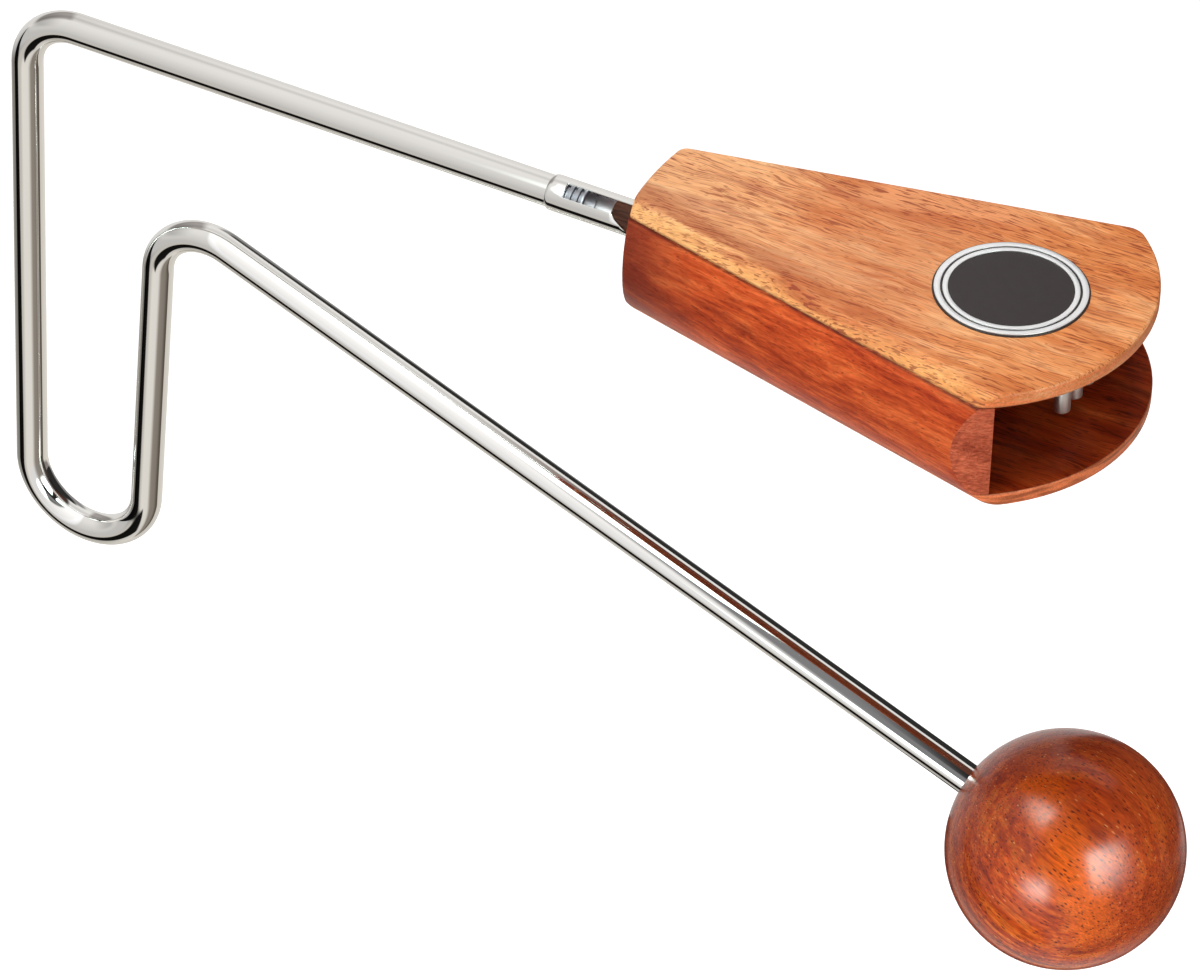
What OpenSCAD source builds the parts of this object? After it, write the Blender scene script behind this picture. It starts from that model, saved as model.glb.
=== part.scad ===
// Vibraslap: a bent steel rod carries a wooden ball at one end and a tapered,
// hollow wooden sound box at the other. Loose rivets hang through a steel
// tongue inside the box and rattle when the ball is struck.
// Millimetres. +Z is up, +X runs from the handle to the mouth of the box.
// The origin is the middle of the grip, on the front limb of the handle.

/* [Rod] */
// Diameter of the rod
rod_d = 8; // [7.6:0.1:8.4]
// Height of the upper run above the middle of the grip
run_rise = 70; // [65:0.5:75]
// Lean of the handle's front limb, in degrees
front_lean = 0.85; // [0:0.05:2]
// Lean of the handle's back limb, in degrees
back_lean = 3.45; // [2:0.05:5]
// Depth of the handle's loop below the upper run, to the middle of its curve
loop_drop = 137; // [125:0.5:145]
// Bend radius of the two corners, to the middle of the rod
bend_r = 15; // [13:0.5:16]
// Distance from the front corner to the back corner
back_corner_x = 38; // [36:0.5:42]
// Drop from the upper run to the back corner
back_corner_drop = 43.2; // [40:0.1:48]
// Width of each groove on the rod's tip
groove_w = 0.9; // [0.6:0.1:1.2]
// Depth of each groove on the rod's tip
groove_depth = 0.5; // [0.3:0.1:0.8]

/* [Ball] */
// Diameter of the ball
ball_d = 58.8; // [54:0.2:64]
// Distance from the front corner of the handle to the middle of the ball
ball_x = 293.2; // [285:0.2:300]
// Drop from the upper run to the middle of the ball
ball_drop = 142.8; // [138:0.2:148]
// How far the rod goes past the middle of the ball
rod_past_middle = 6; // [2:0.5:12]

/* [Sound box] */
// Distance from the front corner of the handle to the narrow end
box_start = 174.7; // [170:0.1:180]
// Length of the box, from the narrow end to the mouth
box_l = 126.7; // [120:0.1:132]
// Width across the glue lines at the narrow end
narrow_w = 29.8; // [28:0.1:34]
// Width across the glue lines, carried on to the tip of the mouth
mouth_w = 90.2; // [84:0.1:94]
// Clear height inside
inside_h = 24.8; // [24:0.1:26]
// Thickness of the top and bottom plates
plate_t = 3.8; // [3:0.1:4.2]
// Radius of the round that the sides are sanded to
barrel_r = 21; // [20:0.5:24]
// Thickness of the cheeks at the glue line
cheek_seat = 2.9; // [2.4:0.1:3.2]
// Radius of the mouth's curve, seen from above
mouth_r = 48; // [46:0.5:56]
// Radius of the narrow end's curve, seen from above
nose_r = 85; // [70:1:100]
// Depth of the block that closes the narrow end
nose_l = 22; // [20:0.5:26]

/* [Rod socket] */
// Distance from the front corner of the handle to the socket's open end
socket_start = 147.3; // [144:0.1:150]
// Wall of the socket
socket_wall = 0.5; // [0.4:0.05:0.7]
// How far the rod goes into the socket
rod_in_socket = 10.2; // [9:0.1:12]
// Width of the window
window_w = 3.8; // [3:0.1:4.4]
// Distance from the socket's open end to the window
window_start = 4.7; // [4:0.1:6]
// Turn of the window about the rod, away from straight up, in degrees
window_turn = 34; // [0:1:45]

/* [Rattle] */
// Thickness of the steel tongue
tongue_t = 1.2; // [1:0.1:1.5]
// Width of the tongue where the rivets hang
tongue_w = 22; // [21:0.5:26]
// Height of the tongue's underside above the rod's axis
tongue_z = 2; // [1.6:0.1:2.2]
// Distance from the narrow end of the box to the tongue's front edge
tongue_front = 114.8; // [114.2:0.1:115]
// Diameter of a loose rivet's shank
shank_d = 4; // [3.6:0.1:4.2]
// Play of a loose rivet in its hole, on the diameter
shank_play = 0.8; // [0.6:0.1:1]
// Diameter of a loose rivet's head
head_d = 6; // [5.6:0.1:6]
// Height of a loose rivet's head
head_h = 2; // [1.6:0.1:2.2]
// Height of the rivets' lower ends above the floor of the box
rivet_clear = 4.9; // [4:0.1:5.5]
// Distance between rivets, across the box
rivet_gap_y = 6.4; // [6.4:0.1:6.8]
// Distance between rows of rivets, along the box
rivet_gap_x = 12; // [10:0.5:13]

/* [Badge] */
// Diameter of the badge
badge_d = 36.8; // [34:0.2:40]
// Distance from the narrow end of the box to the middle of the badge
badge_x = 93.5; // [90:0.1:96]
// Thickness of the badge's disc
badge_t = 0.4; // [0.3:0.05:0.6]
// Height of the rings above the disc
ring_t = 0.2; // [0.1:0.05:0.4]

/* [Hidden] */
$fn = 96;
rivet_count = 9;
rivets_in_row = 3;
groove_count = 3;
end_room = 40;
seat_gap = 0.05;
glue_film = 0.02;
bend_swell = 0.04;
bend_overlap = 0.5;

// Points of the rod's middle line are [x, z], measured from the front corner.
back_corner = [back_corner_x, -back_corner_drop];
ball_centre = [ball_x, -ball_drop];
ball_fall = atan2(ball_drop - back_corner_drop, ball_x - back_corner_x);
to_box = [1, 0];
down_front = [-sin(front_lean), -cos(front_lean)];
down_back = [-sin(back_lean), -cos(back_lean)];
to_ball = [cos(ball_fall), -sin(ball_fall)];
corner_x = run_rise * tan(front_lean);
tip_x = socket_start + rod_in_socket;

// The loop touches both limbs, and its centre is at loop_drop.
loop_x = (back_corner_x * cos(back_lean) - (loop_drop - back_corner_drop) * sin(back_lean)
  - loop_drop * sin(front_lean)) / (cos(front_lean) + cos(back_lean));
loop_centre = [loop_x, -loop_drop];
loop_r = loop_x * cos(front_lean) + loop_drop * sin(front_lean);
loop_front = loop_centre - loop_r * [cos(front_lean), -sin(front_lean)];
loop_back = loop_centre + loop_r * [cos(back_lean), -sin(back_lean)];

// How far from its corner a bend between the directions a and b starts.
function bend_reach(a, b) = bend_r / tan(acos(a * b) / 2);
front_reach = bend_reach(to_box, down_front);
back_reach = bend_reach(down_back, to_ball);

// Sound box
box_h = inside_h + 2 * plate_t;
taper_k = (mouth_w - narrow_w) / 2 / box_l;
taper = atan(taper_k);
barrel_in = sqrt(barrel_r * barrel_r - inside_h * inside_h / 4);
function glue_half(x) = narrow_w / 2 + taper_k * x;
function inner_half(x) = glue_half(x) - cheek_seat / cos(taper);
socket_d = rod_d + 2 * socket_wall;
screw_x = [7, 15];
screw_d = 3.6;
screw_head_d = 7;
screw_head_h = 1.9;
screw_slot = 1;

// Rattle, measured from the narrow end of the box and the rod's axis
bench_start = nose_l + 1.3;
bench_end = nose_l + 16.3;
tail_start = bench_start + 1.2;
tail_end = bench_end + 1;
tail_w = 7.6;
flare_end = 66;
tongue_corner = 4;
tongue_top = tongue_z + tongue_t;
tail_rivet_x = [tail_start + 4, tail_start + 10];
tail_rivet_d = 2.5;
tail_rivet_head_d = 4.4;
tail_rivet_head_h = 1.2;
rivet_front = 111.2;
rivet_low = rivet_clear - inside_h / 2;
rivet_round = 0.6;
function rivet_place(i) = [
  rivet_front - floor(i / rivets_in_row) * rivet_gap_x,
  (i % rivets_in_row - 1) * rivet_gap_y
];

// Badge rings, as shares of the badge's radius
ring_edges = [[0.895, 0.985], [0.81, 0.88]];

rivet_names = [for (i = [1:rivet_count]) str("rivet_", i)];

chrome = [0.78, 0.77, 0.74];
steel = [0.66, 0.66, 0.65];
plate_wood = [0.82, 0.5, 0.26];
cheek_wood = [0.56, 0.25, 0.13];
ball_wood = [0.55, 0.22, 0.11];

// Places its children from the front corner of the handle.
module from_corner() {
  translate([corner_x, 0, run_rise]) children();
}

// Places its children from the narrow end of the box, on the rod's axis.
module from_box() {
  from_corner() translate([box_start, 0, 0]) children();
}

// Straight stretch of rod along +Z, which goes a little into the bends. Its children go on from its end.
module run_then(length) {
  translate([0, 0, -bend_overlap]) cylinder(h = length + 2 * bend_overlap, d = rod_d);
  translate([0, 0, length]) children();
}

// Bend that starts along +Z and turns towards +X. Its children go on from its end.
module bend_then(radius, angle) {
  translate([radius, 0, 0]) rotate([-90, 0, 0]) rotate([0, 0, 180])
    rotate_extrude(angle = angle) translate([radius, 0]) circle(d = rod_d + bend_swell);
  translate([radius, 0, 0]) rotate([0, angle, 0]) translate([-radius, 0, 0]) children();
}

// Cylinder along +X.
module lying(x, length, d) {
  translate([x, 0, 0]) rotate([0, 90, 0]) cylinder(h = length, d = d);
}

module bent_rod() {
  color(chrome) from_corner() difference() {
    translate([tip_x, 0, 0]) rotate([0, -90, 0]) rotate([0, 0, 180])
      translate([0, 0, bend_overlap]) run_then(tip_x - front_reach - bend_overlap)
      bend_then(bend_r, 90 - front_lean)
      run_then(norm(loop_front - front_reach * down_front))
      bend_then(loop_r, 180 + front_lean - back_lean)
      run_then(norm(back_corner + back_reach * down_back - loop_back))
      rotate([0, 0, 180])
      bend_then(bend_r, 90 + ball_fall - back_lean)
      run_then(norm(ball_centre - back_corner) - back_reach + rod_past_middle - bend_overlap);
    for (i = [1:groove_count]) {
      difference() {
        lying(tip_x - 2 * i * groove_w, groove_w, rod_d + 1);
        lying(tip_x - 2 * i * groove_w - 1, groove_w + 2, rod_d - 2 * groove_depth);
      }
    }
  }
}

module ball() {
  color(ball_wood) from_corner() difference() {
    translate([ball_centre.x, 0, ball_centre.y]) sphere(d = ball_d);
    translate([ball_centre.x, 0, ball_centre.y]) rotate([0, 90 + ball_fall, 0])
      translate([0, 0, -ball_d]) cylinder(h = ball_d + rod_past_middle, d = rod_d + 2 * glue_film);
  }
}

// Tube that takes the rod's tip, with a window. Its solid inner end has a flat bench for the tongue.
module rod_socket() {
  start = socket_start - box_start;
  bore_end = start + rod_in_socket + 20;
  color(chrome) from_box() difference() {
    union() {
      lying(start + socket_wall, bench_end - start - socket_wall, socket_d);
      translate([start + socket_wall, 0, 0]) rotate([0, 90, 0])
        rotate_extrude() translate([socket_d / 2 - socket_wall, 0]) circle(r = socket_wall);
    }
    lying(start - 1, bore_end - start + 1, rod_d);
    rotate([window_turn, 0, 0]) translate([start + window_start, -window_w / 2, 0])
      cube([bore_end - start - window_start, window_w, socket_d]);
    translate([bench_start, -socket_d, tongue_z]) cube([bench_end, 2 * socket_d, socket_d]);
    for (x = tail_rivet_x) translate([x, 0, -socket_d]) cylinder(h = 2 * socket_d, d = tail_rivet_d);
  }
}

// Mirrors its children to the given side of the box.
module on_side(side) {
  if (side > 0) {
    children();
  } else {
    mirror([0, 1, 0]) children();
  }
}

// Runs a profile along a side of the box. The profile's x is outwards from the glue line, its y is up.
module along_side(side) {
  on_side(side) translate([0, narrow_w / 2, 0]) rotate([0, 0, taper]) translate([-end_room, 0, 0])
    rotate([90, 0, 90]) linear_extrude(height = box_l + 2 * end_room) children();
}

// Everything inside the barrelled surface of one side.
module inside_of_side(side) {
  along_side(side) {
    translate([-barrel_in, 0]) circle(r = barrel_r);
    translate([-barrel_in - mouth_w, -barrel_r]) square([mouth_w, 2 * barrel_r]);
  }
}

// What the curves of the mouth and of the narrow end take off.
module end_cuts() {
  tall = 2 * box_h;
  wide = 2 * mouth_w;
  difference() {
    translate([box_l - mouth_r, -wide / 2, -tall / 2]) cube([mouth_r + 2 * end_room, wide, tall]);
    translate([box_l - mouth_r, 0, -tall]) cylinder(h = 2 * tall, r = mouth_r, $fn = 180);
  }
  difference() {
    translate([-2 * end_room, -wide / 2, -tall / 2]) cube([2 * end_room + nose_l / 2, wide, tall]);
    translate([nose_r, 0, -tall]) cylinder(h = 2 * tall, r = nose_r, $fn = 180);
  }
}

// One plate of the box, with its underside at the given height.
module plate_at(z) {
  difference() {
    intersection() {
      inside_of_side(1);
      inside_of_side(-1);
      translate([-end_room, -mouth_w, z]) cube([box_l + 2 * end_room, 2 * mouth_w, plate_t]);
    }
    end_cuts();
  }
}

module cheek(side) {
  difference() {
    along_side(side) intersection() {
      translate([-barrel_in, 0]) circle(r = barrel_r);
      translate([-cheek_seat, -inside_h / 2]) square([barrel_r, inside_h]);
    }
    end_cuts();
  }
}

module nose_screw_body() {
  translate([0, 0, -box_h / 2]) {
    cylinder(h = screw_head_h, d1 = screw_head_d, d2 = screw_d);
    cylinder(h = (box_h - socket_d) / 2 - seat_gap, d = screw_d);
  }
}

module top_plate() {
  color(plate_wood) from_box() plate_at(inside_h / 2);
}

module bottom_plate() {
  color(plate_wood) from_box() difference() {
    plate_at(-box_h / 2);
    for (x = screw_x) translate([x, 0, 0]) nose_screw_body();
  }
}

module left_cheek() {
  color(cheek_wood) from_box() cheek(1);
}

module right_cheek() {
  color(cheek_wood) from_box() cheek(-1);
}

module nose_block() {
  color(cheek_wood) from_box() difference() {
    translate([0, 0, -inside_h / 2]) linear_extrude(height = inside_h) polygon([
      [0, inner_half(0)], [nose_l, inner_half(nose_l)],
      [nose_l, -inner_half(nose_l)], [0, -inner_half(0)]
    ]);
    end_cuts();
    lying(-nose_l, 3 * nose_l, socket_d);
    for (x = screw_x) translate([x, 0, 0]) nose_screw_body();
  }
}

module nose_screws() {
  color(steel) from_box() for (x = screw_x) translate([x, 0, 0]) difference() {
    nose_screw_body();
    translate([-screw_head_d / 2, -screw_slot / 2, -box_h / 2 - 1]) cube([screw_head_d, screw_slot, 2]);
  }
}

module tongue_outline() {
  straight_end = tongue_front - tongue_corner;
  round_y = tongue_w / 2 - tongue_corner;
  polygon([
    [tail_start, -tail_w / 2], [tail_end, -tail_w / 2],
    [flare_end, -tongue_w / 2], [straight_end, -tongue_w / 2],
    [straight_end, tongue_w / 2], [flare_end, tongue_w / 2],
    [tail_end, tail_w / 2], [tail_start, tail_w / 2]
  ]);
  translate([straight_end - tongue_corner, -round_y]) square([2 * tongue_corner, 2 * round_y]);
  for (y = [-round_y, round_y]) translate([straight_end, y]) circle(r = tongue_corner);
}

module rattle_plate() {
  color(steel) from_box() translate([0, 0, tongue_z]) difference() {
    linear_extrude(height = tongue_t) tongue_outline();
    for (i = [0:rivet_count - 1]) {
      translate([rivet_place(i).x, rivet_place(i).y, -1])
        cylinder(h = tongue_t + 2, d = shank_d + shank_play);
    }
    for (x = tail_rivet_x) translate([x, 0, -1]) cylinder(h = tongue_t + 2, d = tail_rivet_d);
  }
}

module tail_rivets() {
  low = -socket_d / 2 + 0.3;
  color(steel) from_box() for (x = tail_rivet_x) translate([x, 0, 0]) {
    translate([0, 0, low]) cylinder(h = tongue_top - low, d = tail_rivet_d);
    translate([0, 0, tongue_top]) cylinder(h = tail_rivet_head_h, d1 = tail_rivet_head_d, d2 = tail_rivet_d);
  }
}

// Half section of a loose rivet: a domed head on a shank with a rounded end.
module rivet_profile() {
  shank_l = tongue_top + seat_gap - rivet_low;
  dome_r = (head_d * head_d / 4 + head_h * head_h) / (2 * head_h);
  translate([0, shank_l]) intersection() {
    translate([0, head_h - dome_r]) circle(r = dome_r);
    square([head_d, head_h]);
  }
  translate([0, rivet_round]) square([shank_d / 2, shank_l - rivet_round]);
  square([shank_d / 2 - rivet_round, rivet_round]);
  translate([shank_d / 2 - rivet_round, rivet_round]) circle(r = rivet_round);
}

module rivet(i) {
  color(steel) from_box() translate([rivet_place(i).x, rivet_place(i).y, rivet_low])
    rotate_extrude() rivet_profile();
}

module badge_plate() {
  color([0.08, 0.08, 0.08]) from_box() translate([badge_x, 0, box_h / 2]) cylinder(h = badge_t, d = badge_d);
}

module badge_rings() {
  color([0.8, 0.8, 0.8]) from_box() translate([badge_x, 0, box_h / 2 + badge_t]) for (edge = ring_edges) {
    difference() {
      cylinder(h = ring_t, d = badge_d * edge[1]);
      translate([0, 0, -1]) cylinder(h = ring_t + 2, d = badge_d * edge[0]);
    }
  }
}

bent_rod();
ball();
rod_socket();
nose_block();
top_plate();
bottom_plate();
left_cheek();
right_cheek();
rattle_plate();
tail_rivets();
nose_screws();
badge_plate();
badge_rings();
for (i = [0:rivet_count - 1]) rivet(i);
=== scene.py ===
import bpy
import bmesh
import math
from mathutils import Matrix, Vector


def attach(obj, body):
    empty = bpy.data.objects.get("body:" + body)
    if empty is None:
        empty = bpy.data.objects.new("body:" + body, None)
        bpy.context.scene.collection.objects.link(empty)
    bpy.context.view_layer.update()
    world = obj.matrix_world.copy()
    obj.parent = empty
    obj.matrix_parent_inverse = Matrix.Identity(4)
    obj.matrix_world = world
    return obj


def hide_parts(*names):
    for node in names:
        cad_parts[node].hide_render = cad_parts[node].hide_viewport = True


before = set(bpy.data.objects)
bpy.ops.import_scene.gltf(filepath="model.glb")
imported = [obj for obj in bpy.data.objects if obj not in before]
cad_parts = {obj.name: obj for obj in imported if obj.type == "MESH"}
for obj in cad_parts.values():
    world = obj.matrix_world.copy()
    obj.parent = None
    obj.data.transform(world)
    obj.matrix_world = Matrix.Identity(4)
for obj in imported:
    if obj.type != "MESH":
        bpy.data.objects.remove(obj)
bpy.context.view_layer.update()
scene = bpy.context.scene

# The object's sizes are in mm, the studio's in metres.
mm = 0.001
cornerPlace = Vector((1.03855, 0.0, 70.0))  # front corner of the handle
boxPlace = cornerPlace + Vector((174.7, 0.0, 0.0))  # narrow end of the box, on the rod's axis
ballOffset = Vector((293.2, 0.0, -142.8))
ballPlace = cornerPlace + ballOffset


def fillNode(tree, node, inputs):
    for key, value in inputs.items():
        target = node.inputs[key]
        if isinstance(value, bpy.types.NodeSocket):
            tree.links.new(value, target)
        elif target.type == "RGBA":
            target.default_value = (*value, 1.0)  # colours are written with three values
        else:
            target.default_value = value


def addNode(tree, kind, inputs=None, **settings):
    made = tree.nodes.new(kind)
    for name, value in settings.items():
        setattr(made, name, value)
    fillNode(tree, made, inputs or {})
    return made.outputs


def calc(tree, operation, a, b=0.0, c=0.0):
    return addNode(tree, "ShaderNodeMath", {0: a, 1: b, 2: c}, operation=operation)[0]


def times(tree, first, *others):
    for other in others:
        first = calc(tree, "MULTIPLY", first, other)
    return first


def vectorCalc(tree, operation, a, b=(0.0, 0.0, 0.0), output="Vector"):
    return addNode(tree, "ShaderNodeVectorMath", {0: a, 1: b}, operation=operation)[output]


def dot(tree, place, slope):
    return vectorCalc(tree, "DOT_PRODUCT", place, slope, "Value")


def softStep(tree, value, start, end, low=0.0, high=1.0):
    sizes = {"Value": value, "From Min": start, "From Max": end, "To Min": low, "To Max": high}
    return addNode(tree, "ShaderNodeMapRange", sizes, interpolation_type="SMOOTHSTEP")[0]


def blendColours(tree, share, a, b, mode="MIX"):
    return addNode(tree, "ShaderNodeMix", {0: share, 6: a, 7: b}, data_type="RGBA", blend_type=mode)[2]


def rampOf(tree, share, stops):
    ramp = addNode(tree, "ShaderNodeValToRGB", {0: share})[0]
    marks = ramp.node.color_ramp.elements
    for index, (at, colour) in enumerate(stops):
        mark = marks[index] if index < 2 else marks.new(at)
        mark.position = at
        mark.color = (*colour, 1.0)
    return ramp


def noiseAt(tree, vector, size, detail=2.0, roughness=0.5, output=0):
    scaled = vectorCalc(tree, "DIVIDE", vector, size)
    sizes = {"Vector": scaled, "Scale": 1.0, "Detail": detail, "Roughness": roughness}
    return addNode(tree, "ShaderNodeTexNoise", sizes)[output]


def bumpOf(tree, height, strength, depth):
    sizes = {"Height": height, "Strength": strength, "Distance": depth * mm}
    return addNode(tree, "ShaderNodeBump", sizes)[0]


def spotOf(tree):
    return addNode(tree, "ShaderNodeTexCoord")["Object"]


def spotInMm(tree):
    return vectorCalc(tree, "MULTIPLY", spotOf(tree), (1.0 / mm,) * 3)


def partsOf(tree, vector):
    return addNode(tree, "ShaderNodeSeparateXYZ", {0: vector})


def paint(red, green, blue):
    # from the values of a screen to linear light
    def straighten(value):
        value /= 255.0
        return value / 12.92 if value <= 0.04045 else ((value + 0.055) / 1.055) ** 2.4
    return (straighten(red), straighten(green), straighten(blue))


view = {"target": (163.75, 0.0, -14.13), "azimuth": 27.67, "elevation": 37.92, "roll": -1.78,
        "distance": 1822.4, "lens": 223.9, "sensor": 36.0}


def axesFacing(azimuth, elevation):
    turn, lift = math.radians(azimuth), math.radians(elevation)
    back = Vector((math.sin(turn) * math.cos(lift), -math.cos(turn) * math.cos(lift), math.sin(lift)))
    level = Vector((math.cos(turn), math.sin(turn), 0.0))
    return level, back.cross(level), back


def makeCamera():
    level, upright, back = axesFacing(view["azimuth"], view["elevation"])
    roll = math.radians(view["roll"])
    right = math.cos(roll) * level - math.sin(roll) * upright
    up = math.sin(roll) * level + math.cos(roll) * upright
    lens = bpy.data.cameras.new("photoCamera")
    lens.lens = view["lens"]
    lens.sensor_width = view["sensor"]
    lens.sensor_fit = "HORIZONTAL"
    camera = bpy.data.objects.new("photoCamera", lens)
    scene.collection.objects.link(camera)
    place = (Vector(view["target"]) + back * view["distance"]) * mm
    camera.matrix_world = Matrix.Translation(place) @ Matrix((right, up, back)).transposed().to_4x4()
    scene.camera = camera


makeCamera()
print("camera in place")


def rectangle(x, y, z):
    return [(x[0], y[0], z[0]), (x[1], y[0], z[0]), (x[1], y[1], z[1]), (x[0], y[1], z[1])]


studio = {"floorHeight": -0.40, "floorWidth": 16.0, "floorColour": (0.86, 0.86, 0.86), "floorGlow": 0.62,
          "ambient": 0.30, "ringTint": (1.0, 0.985, 0.965), "boxColour": (0.86, 1.035, 0.99)}
# What polished surfaces see: a ring of greys by the angle about X, from the front upwards, in degrees.
surroundRing = [
    (-180, 0.84), (-150, 0.80), (-130, 0.72), (-107, 0.68), (-89, 0.58), (-75, 0.50), (-62, 0.56),
    (-33, 0.62), (-16, 0.63), (0, 0.715), (28, 0.815), (55, 0.91), (92, 0.96), (100, 0.90), (107, 0.77),
    (116, 0.78), (125, 0.90), (135, 0.97), (157, 0.88), (172, 0.84), (180, 0.84),
]
# Parts of it that are brighter or darker: what the grey is multiplied by, then the limits of the fades.
# turn is the angle about X, from the front upwards; sweep is the angle about Z, from the front to the right.
surroundParts = [
    ((1.04, 1.01, 0.95), [("z", -0.40, -0.58)]),
    ((1.38, 1.39, 1.41), [("x", -0.36, -0.08), ("y", 0.30, -0.10)]),
    ((1.25, 1.275, 1.31), [("x", -0.355, -0.29), ("x", -0.10, -0.25), ("y", 0.30, -0.10),
                           ("z", -0.58, -0.45)]),
    ((0.37, 0.34, 0.31), [("sweep", 0.52, 1.00), ("sweep", 2.12, 2.04), ("z", 0.15, 0.0)]),
    ((0.44, 0.42, 0.40), [("sweep", 1.30, 1.95), ("sweep", 2.12, 2.04), ("z", 0.15, 0.0)]),
    ((0.42, 0.42, 0.42), [("x", -0.50, -0.85), ("z", -0.35, -0.55)]),
    ((0.60, 0.60, 0.60), [("x", -0.60, -1.0), ("z", 0.0, 0.25)]),
    ((0.14, 0.13, 0.12), [("x", 0.25, 0.40), ("z", -0.05, 0.15)]),
    ((0.45, 0.45, 0.45), [("x", 0.50, 0.80), ("z", -0.05, 0.15)]),
    ((0.35, 0.35, 0.36), [("x", -0.34, -0.20), ("y", 0.75, 0.88), ("z", -0.55, -0.35)]),
    ((0.45, 0.43, 0.42), [("x", -0.40, -0.56), ("y", -0.20, 0.10), ("z", 0.10, 0.26)]),
    ((0.35, 0.32, 0.31), [("x", 0.25, 0.50), ("y", 0.10, 0.40), ("z", -0.58, -0.45)]),
    ((0.01, 0.01, 0.01), [("turn", -1.22, -1.15), ("turn", -0.715, -0.755), ("x", 0.12, 0.02),
                          ("y", 0.0, -0.06)]),
]
# Dark cards that only polished surfaces see: the colour, where along X it turns into a second one, the
# limits of the fades along X, and the corners.
twoGreys = {"colour": (0.25, 0.25, 0.26), "second": (0.02, 0.02, 0.02), "turns": (0.33, 0.39),
            "fades": [(0.18, 0.27), (0.80, 0.45)]}
darkGrey = (0.03, 0.03, 0.03)
cards = {
    "frontCard": dict(twoGreys, corners=rectangle((0.16, 0.85), (-0.40, -0.40), (0.0, 0.30))),
    "canopyCard": dict(twoGreys, corners=rectangle((0.16, 0.85), (-0.40, -0.13), (0.30, 0.30))),
    "brownCard": {"colour": (0.12, 0.045, 0.03), "fades": [(0.18, 0.26), (0.80, 0.45)],
                  "corners": rectangle((0.18, 0.85), (-0.13, 0.19), (0.30, 0.30))},
    "upperCard": {"colour": darkGrey, "fades": [(0.80, 0.36)],
                  "corners": rectangle((0.31, 0.90), (0.36, 0.90), (0.30, 0.30))},
    "backCard": {"colour": darkGrey, "fades": [(-0.02, 0.08)],
                 "corners": [(x, 0.50, z) for x, z in (
                     (0.16, -0.30), (0.90, -0.30), (0.90, 0.42), (-0.02, 0.42), (-0.02, 0.06), (0.03, 0.03),
                     (0.105, -0.04), (0.13, -0.12))]},
}
# Painted shadow that the ball reflects beside its foot, and the dark that it sees behind itself round most of
# its rim (that one in mm).
restShade = {"height": -0.104, "shift": (0.075, 0.02), "radius": 0.075, "core": 0.35, "steps": 48,
             "colour": (0.04, 0.03, 0.03)}
rimShade = {"behind": 60.0, "radii": (29.0, 60.0), "from": 168.0, "to": 418.0, "steps": 60,
            "colour": (0.03, 0.02, 0.02)}
# Where the light comes from, as directions from the ball.
fromUpperLeft = (-0.20, -0.42, 0.885)
fromRight = (0.84, -0.46, 0.29)
fromFront = (0.0, -0.99, -0.09)
# Soft boxes that only polished surfaces see: direction, distance, reach to each side of that line as a
# slope, radiance, and the fades over the width and the height, both from 0 to 1.
softBoxes = {
    "upperLeftBox": {"towards": fromUpperLeft, "reach": 0.3, "x": (-0.58, 0.14), "y": (-0.26, 0.26),
                     "glow": 10.5,
                     "fades": [("x", 0.0, 0.85), ("x", 1.0, 0.94), ("y", 0.0, 0.45), ("y", 1.0, 0.55)]},
    "rightBox": {"towards": fromRight, "reach": 1.2, "x": (-0.27, 0.80), "y": (-0.55, 0.42), "glow": 16.5,
                 "fades": [("x", 0.0, 0.06), ("x", 0.95, 0.08), ("y", 0.0, 0.75), ("y", 1.0, 0.85)]},
    "frontBox": {"towards": fromFront, "reach": 0.5, "x": (-0.34, 0.26), "y": (-0.24, 0.34), "glow": 14.0,
                 "fades": [("x", 0.0, 0.6), ("x", 1.0, 0.75), ("y", 0.0, 0.5), ("y", 1.0, 0.5)]},
}
# Lamps for the matt surfaces: direction, distance, width, and the level at which they light a white
# surface that faces them.
lamps = {
    "overheadLamp": {"towards": (-0.12, 0.05, 1.0), "reach": 1.3, "width": 0.5, "level": 0.52},
    "upperLeftLamp": {"towards": fromUpperLeft, "reach": 1.1, "width": 0.5, "level": 0.20},
    "rightLamp": {"towards": fromRight, "reach": 1.2, "width": 0.6, "level": 0.18},
    "frontLamp": {"towards": fromFront, "reach": 1.2, "width": 0.5, "level": 0.41},
}


def emptyTree(holder):
    holder.use_nodes = True
    holder.node_tree.nodes.clear()
    return holder.node_tree


def fadeOver(tree, measures, limits):
    return times(tree, *[softStep(tree, measures[key], start, end) for key, start, end in limits])


def stagePiece(material, points, faces):
    mesh = bpy.data.meshes.new(material.name)
    mesh.from_pydata(points, [], faces)
    mesh.materials.append(material)
    piece = bpy.data.objects.new(material.name, mesh)
    scene.collection.objects.link(piece)
    return piece


def mirroredPiece(material, points, faces, colour, share=1.0, glow=1.0):
    tree = material.node_tree
    lit = addNode(tree, "ShaderNodeEmission", {"Color": colour, "Strength": glow})[0]
    clear = addNode(tree, "ShaderNodeBsdfTransparent")[0]
    shown = addNode(tree, "ShaderNodeMixShader", {0: share, 1: clear, 2: lit})[0]
    addNode(tree, "ShaderNodeOutputMaterial", {"Surface": shown})
    piece = stagePiece(material, points, faces)
    for ray in ("camera", "diffuse", "transmission", "volume_scatter", "shadow"):
        setattr(piece, "visible_" + ray, False)
    return piece


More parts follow.
